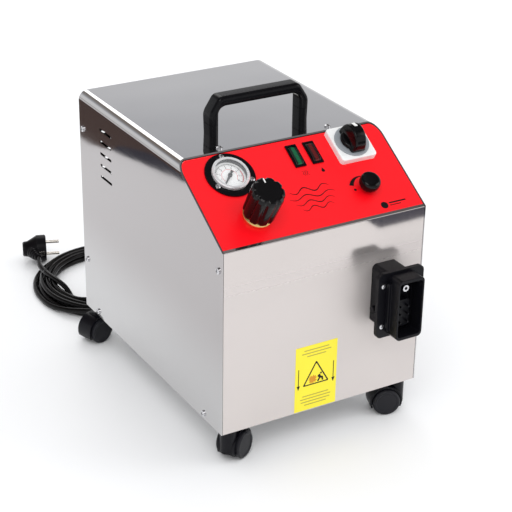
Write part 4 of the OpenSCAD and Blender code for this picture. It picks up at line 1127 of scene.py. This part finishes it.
class STEAMER_OT_lamps(SteamerOperator, Operator):
    """Indicator lamps"""

    bl_idname = "steamer.lamps"
    bl_label = "Lamps"

    def make(self, scene):
        softened("lamp_bezels", "black moulding", 0.35 * MM, "machine")
        for colour in ("green", "red"):
            softened(colour + "_lens", colour + " lamp", 0.7 * MM, "machine", 3, 25)


class STEAMER_OT_selector(SteamerOperator, Operator):
    """Selector switch"""

    bl_idname = "steamer.selector"
    bl_label = "Selector"

    def make(self, scene):
        plate = rounded_slab(48 * MM, 48 * MM, 8 * MM, 4 * MM, 1.6 * MM, 0.5 * MM)
        dial = turned(in_mm((0, 8), (21.5, 8), (21.5, 9.7), (21.1, 10.1), (19.2, 10.1), (18.8, 9.9),
                            (0, 9.9)), 72)
        keep("selector_face", join((plate, 0), (dial, 1)), ["white moulding", "dial grey"], "machine",
             ["selector_plate"], 35, panel_place(*SELECTOR_AT))
        skirt = turned(in_mm((0, 0), (14.6, 0), (15, 0.6), (15, 3), (14, 4.4), (12, 5), (0, 5.2)), 64)
        grip = bmesh.new()
        bmesh.ops.create_cone(grip, cap_ends=True, segments=72, radius1=17.8 * MM, radius2=17.8 * MM,
                              depth=15 * MM)
        soften(grip, sharp_edges(grip), 2.6 * MM, 4)
        grip.transform(Matrix.Translation((0, 0, 4 * MM)) @ Matrix.Rotation(math.radians(90), 4, "Y"))
        cut = bmesh.ops.bisect_plane(grip, geom=[*grip.verts, *grip.edges, *grip.faces],
                                     plane_co=(0, 0, 0.2 * MM), plane_no=(0, 0, 1), clear_inner=True)
        bmesh.ops.contextual_create(grip, geom=kind_of(bmesh.types.BMEdge, cut["geom_cut"]))
        for v in grip.verts:
            v.co.x *= 1 + 0.35 * (1 - min(1, v.co.z / (14 * MM))) ** 2
        outwards(grip)
        mark = rounded_slab(4.2 * MM, 8 * MM, 0.5 * MM, 0.8 * MM, 0.15 * MM)
        mark.transform(Matrix.Translation((0, 0, 4 * MM)) @ Matrix.Rotation(math.radians(-27), 4, "X")
                       @ Matrix.Translation((0, 0, 17.5 * MM)))
        place = panel_place(*SELECTOR_AT, 0.5 + 8 + 1.6 + 0.4)
        keep("selector_grip", join((skirt, 0), (grip, 0), (mark, 1)), ["black gloss", "white print"],
             "selector", ["selector_knob"], 40, place)
        dress("dark grey moulding", "selector_switch")


class STEAMER_OT_flow_knob(SteamerOperator, Operator):
    """Small knob"""

    bl_idname = "steamer.flow_knob"
    bl_label = "Small knob"

    def make(self, scene):
        bm = turned(in_mm((0, 0), (9.6, 0), (10.4, 0.8), (11.4, 2.4), (12.3, 4.6), (12.5, 7), (12.4, 9.6),
                          (11.8, 11.6), (10.6, 13), (8.6, 13.8), (6, 14), (0, 14)), 56)
        keep("flow_knob_dome", bm, ["black gloss"], "flow_control", ["flow_knob"], 40,
             panel_place(*FLOW_AT, 3.4))
        dress("brass", "pot_shaft", "potentiometer")


class STEAMER_OT_socket(SteamerOperator, Operator):
    """Steam socket on the front"""

    bl_idname = "steamer.socket"
    bl_label = "Steam socket"

    def make(self, scene):
        softened("socket_housing", "socket moulding", 0.8 * MM, "machine", 3)
        softened("socket_shroud", "socket moulding", 0.7 * MM, "machine", 3)
        dress("socket moulding", "socket_contacts")
        dress("zinc", "steam_nozzle")


class STEAMER_OT_casters(SteamerOperator, Operator):
    """Casters"""

    bl_idname = "steamer.casters"
    bl_label = "Casters"

    def make(self, scene):
        dress("blue zinc", "caster_stems")
        for corner in ("fl", "fr", "bl", "br"):
            softened("caster_hood_" + corner, "caster moulding", 0.9 * MM, "swivel_" + corner, 3, 50)
            softened("caster_wheels_" + corner, "tread", 0.5 * MM, "wheels_" + corner, 2, 50)


class STEAMER_OT_rear_fittings(SteamerOperator, Operator):
    """Filler and drain"""

    bl_idname = "steamer.rear_fittings"
    bl_label = "Filler and drain"

    def make(self, scene):
        softened("filler_neck", "dark grey moulding", 0.6 * MM, "machine")
        softened("filler_cap", "black moulding", 0.5 * MM, "cap")
        dress("gasket", "cap_gasket")
        dress("brass", "drain_valve")
        softened("drain_lever", "red dip", 0.8 * MM, "drain_handle", 3)


class STEAMER_OT_inside(SteamerOperator, Operator):
    """Boiler, tank, pump and electrics"""

    bl_idname = "steamer.inside"
    bl_label = "Inside"

    def make(self, scene):
        dress("boiler steel", "boiler", "heating_element")
        dress("brass", "safety_valve", "steam_solenoid")
        dress("copper", "steam_pipes")
        dress("tank moulding", "water_tank")
        dress("dark grey moulding", "water_pump")
        dress("hose", "water_hoses")
        dress("board", "control_board")


class STEAMER_PT_panel(Panel):
    """Lists the pieces of the steam cleaner"""

    bl_idname = "STEAMER_PT_panel"
    bl_label = "Steam Cleaner"
    bl_space_type = "VIEW_3D"
    bl_region_type = "UI"
    bl_category = "Steam Cleaner"

    def draw(self, context):
        column = self.layout.column()
        for group in GROUPS:
            settings = getattr(context.scene, group)
            column.label(text=settings.bl_rna.description)
            for name in settings.__annotations__:
                column.prop(settings, name)
        for operator in OPERATORS:
            column.operator(operator.bl_idname)


GROUPS = {"steamer_body": SteamerBody, "steamer_handle": SteamerHandle, "steamer_controls": SteamerControls,
          "steamer_lead": SteamerLead, "steamer_stage": SteamerStage}
OPERATORS = (
    STEAMER_OT_stage, STEAMER_OT_mains_lead, STEAMER_OT_housing, STEAMER_OT_handle, STEAMER_OT_overlay,
    STEAMER_OT_label, STEAMER_OT_gauge, STEAMER_OT_steam_knob, STEAMER_OT_lamps, STEAMER_OT_selector,
    STEAMER_OT_flow_knob, STEAMER_OT_socket, STEAMER_OT_casters, STEAMER_OT_rear_fittings, STEAMER_OT_inside,
)
CLASSES = (*GROUPS.values(), *OPERATORS, STEAMER_PT_panel)


def register():
    for made in CLASSES:
        bpy.utils.register_class(made)
    for name, group in GROUPS.items():
        setattr(bpy.types.Scene, name, PointerProperty(type=group))


def unregister():
    for name in GROUPS:
        delattr(bpy.types.Scene, name)
    for made in reversed(CLASSES):
        bpy.utils.unregister_class(made)


def main():
    register()
    for operator in OPERATORS:
        family, name = operator.bl_idname.split(".")
        getattr(getattr(bpy.ops, family), name)()


if __name__ == "__main__":
    main()
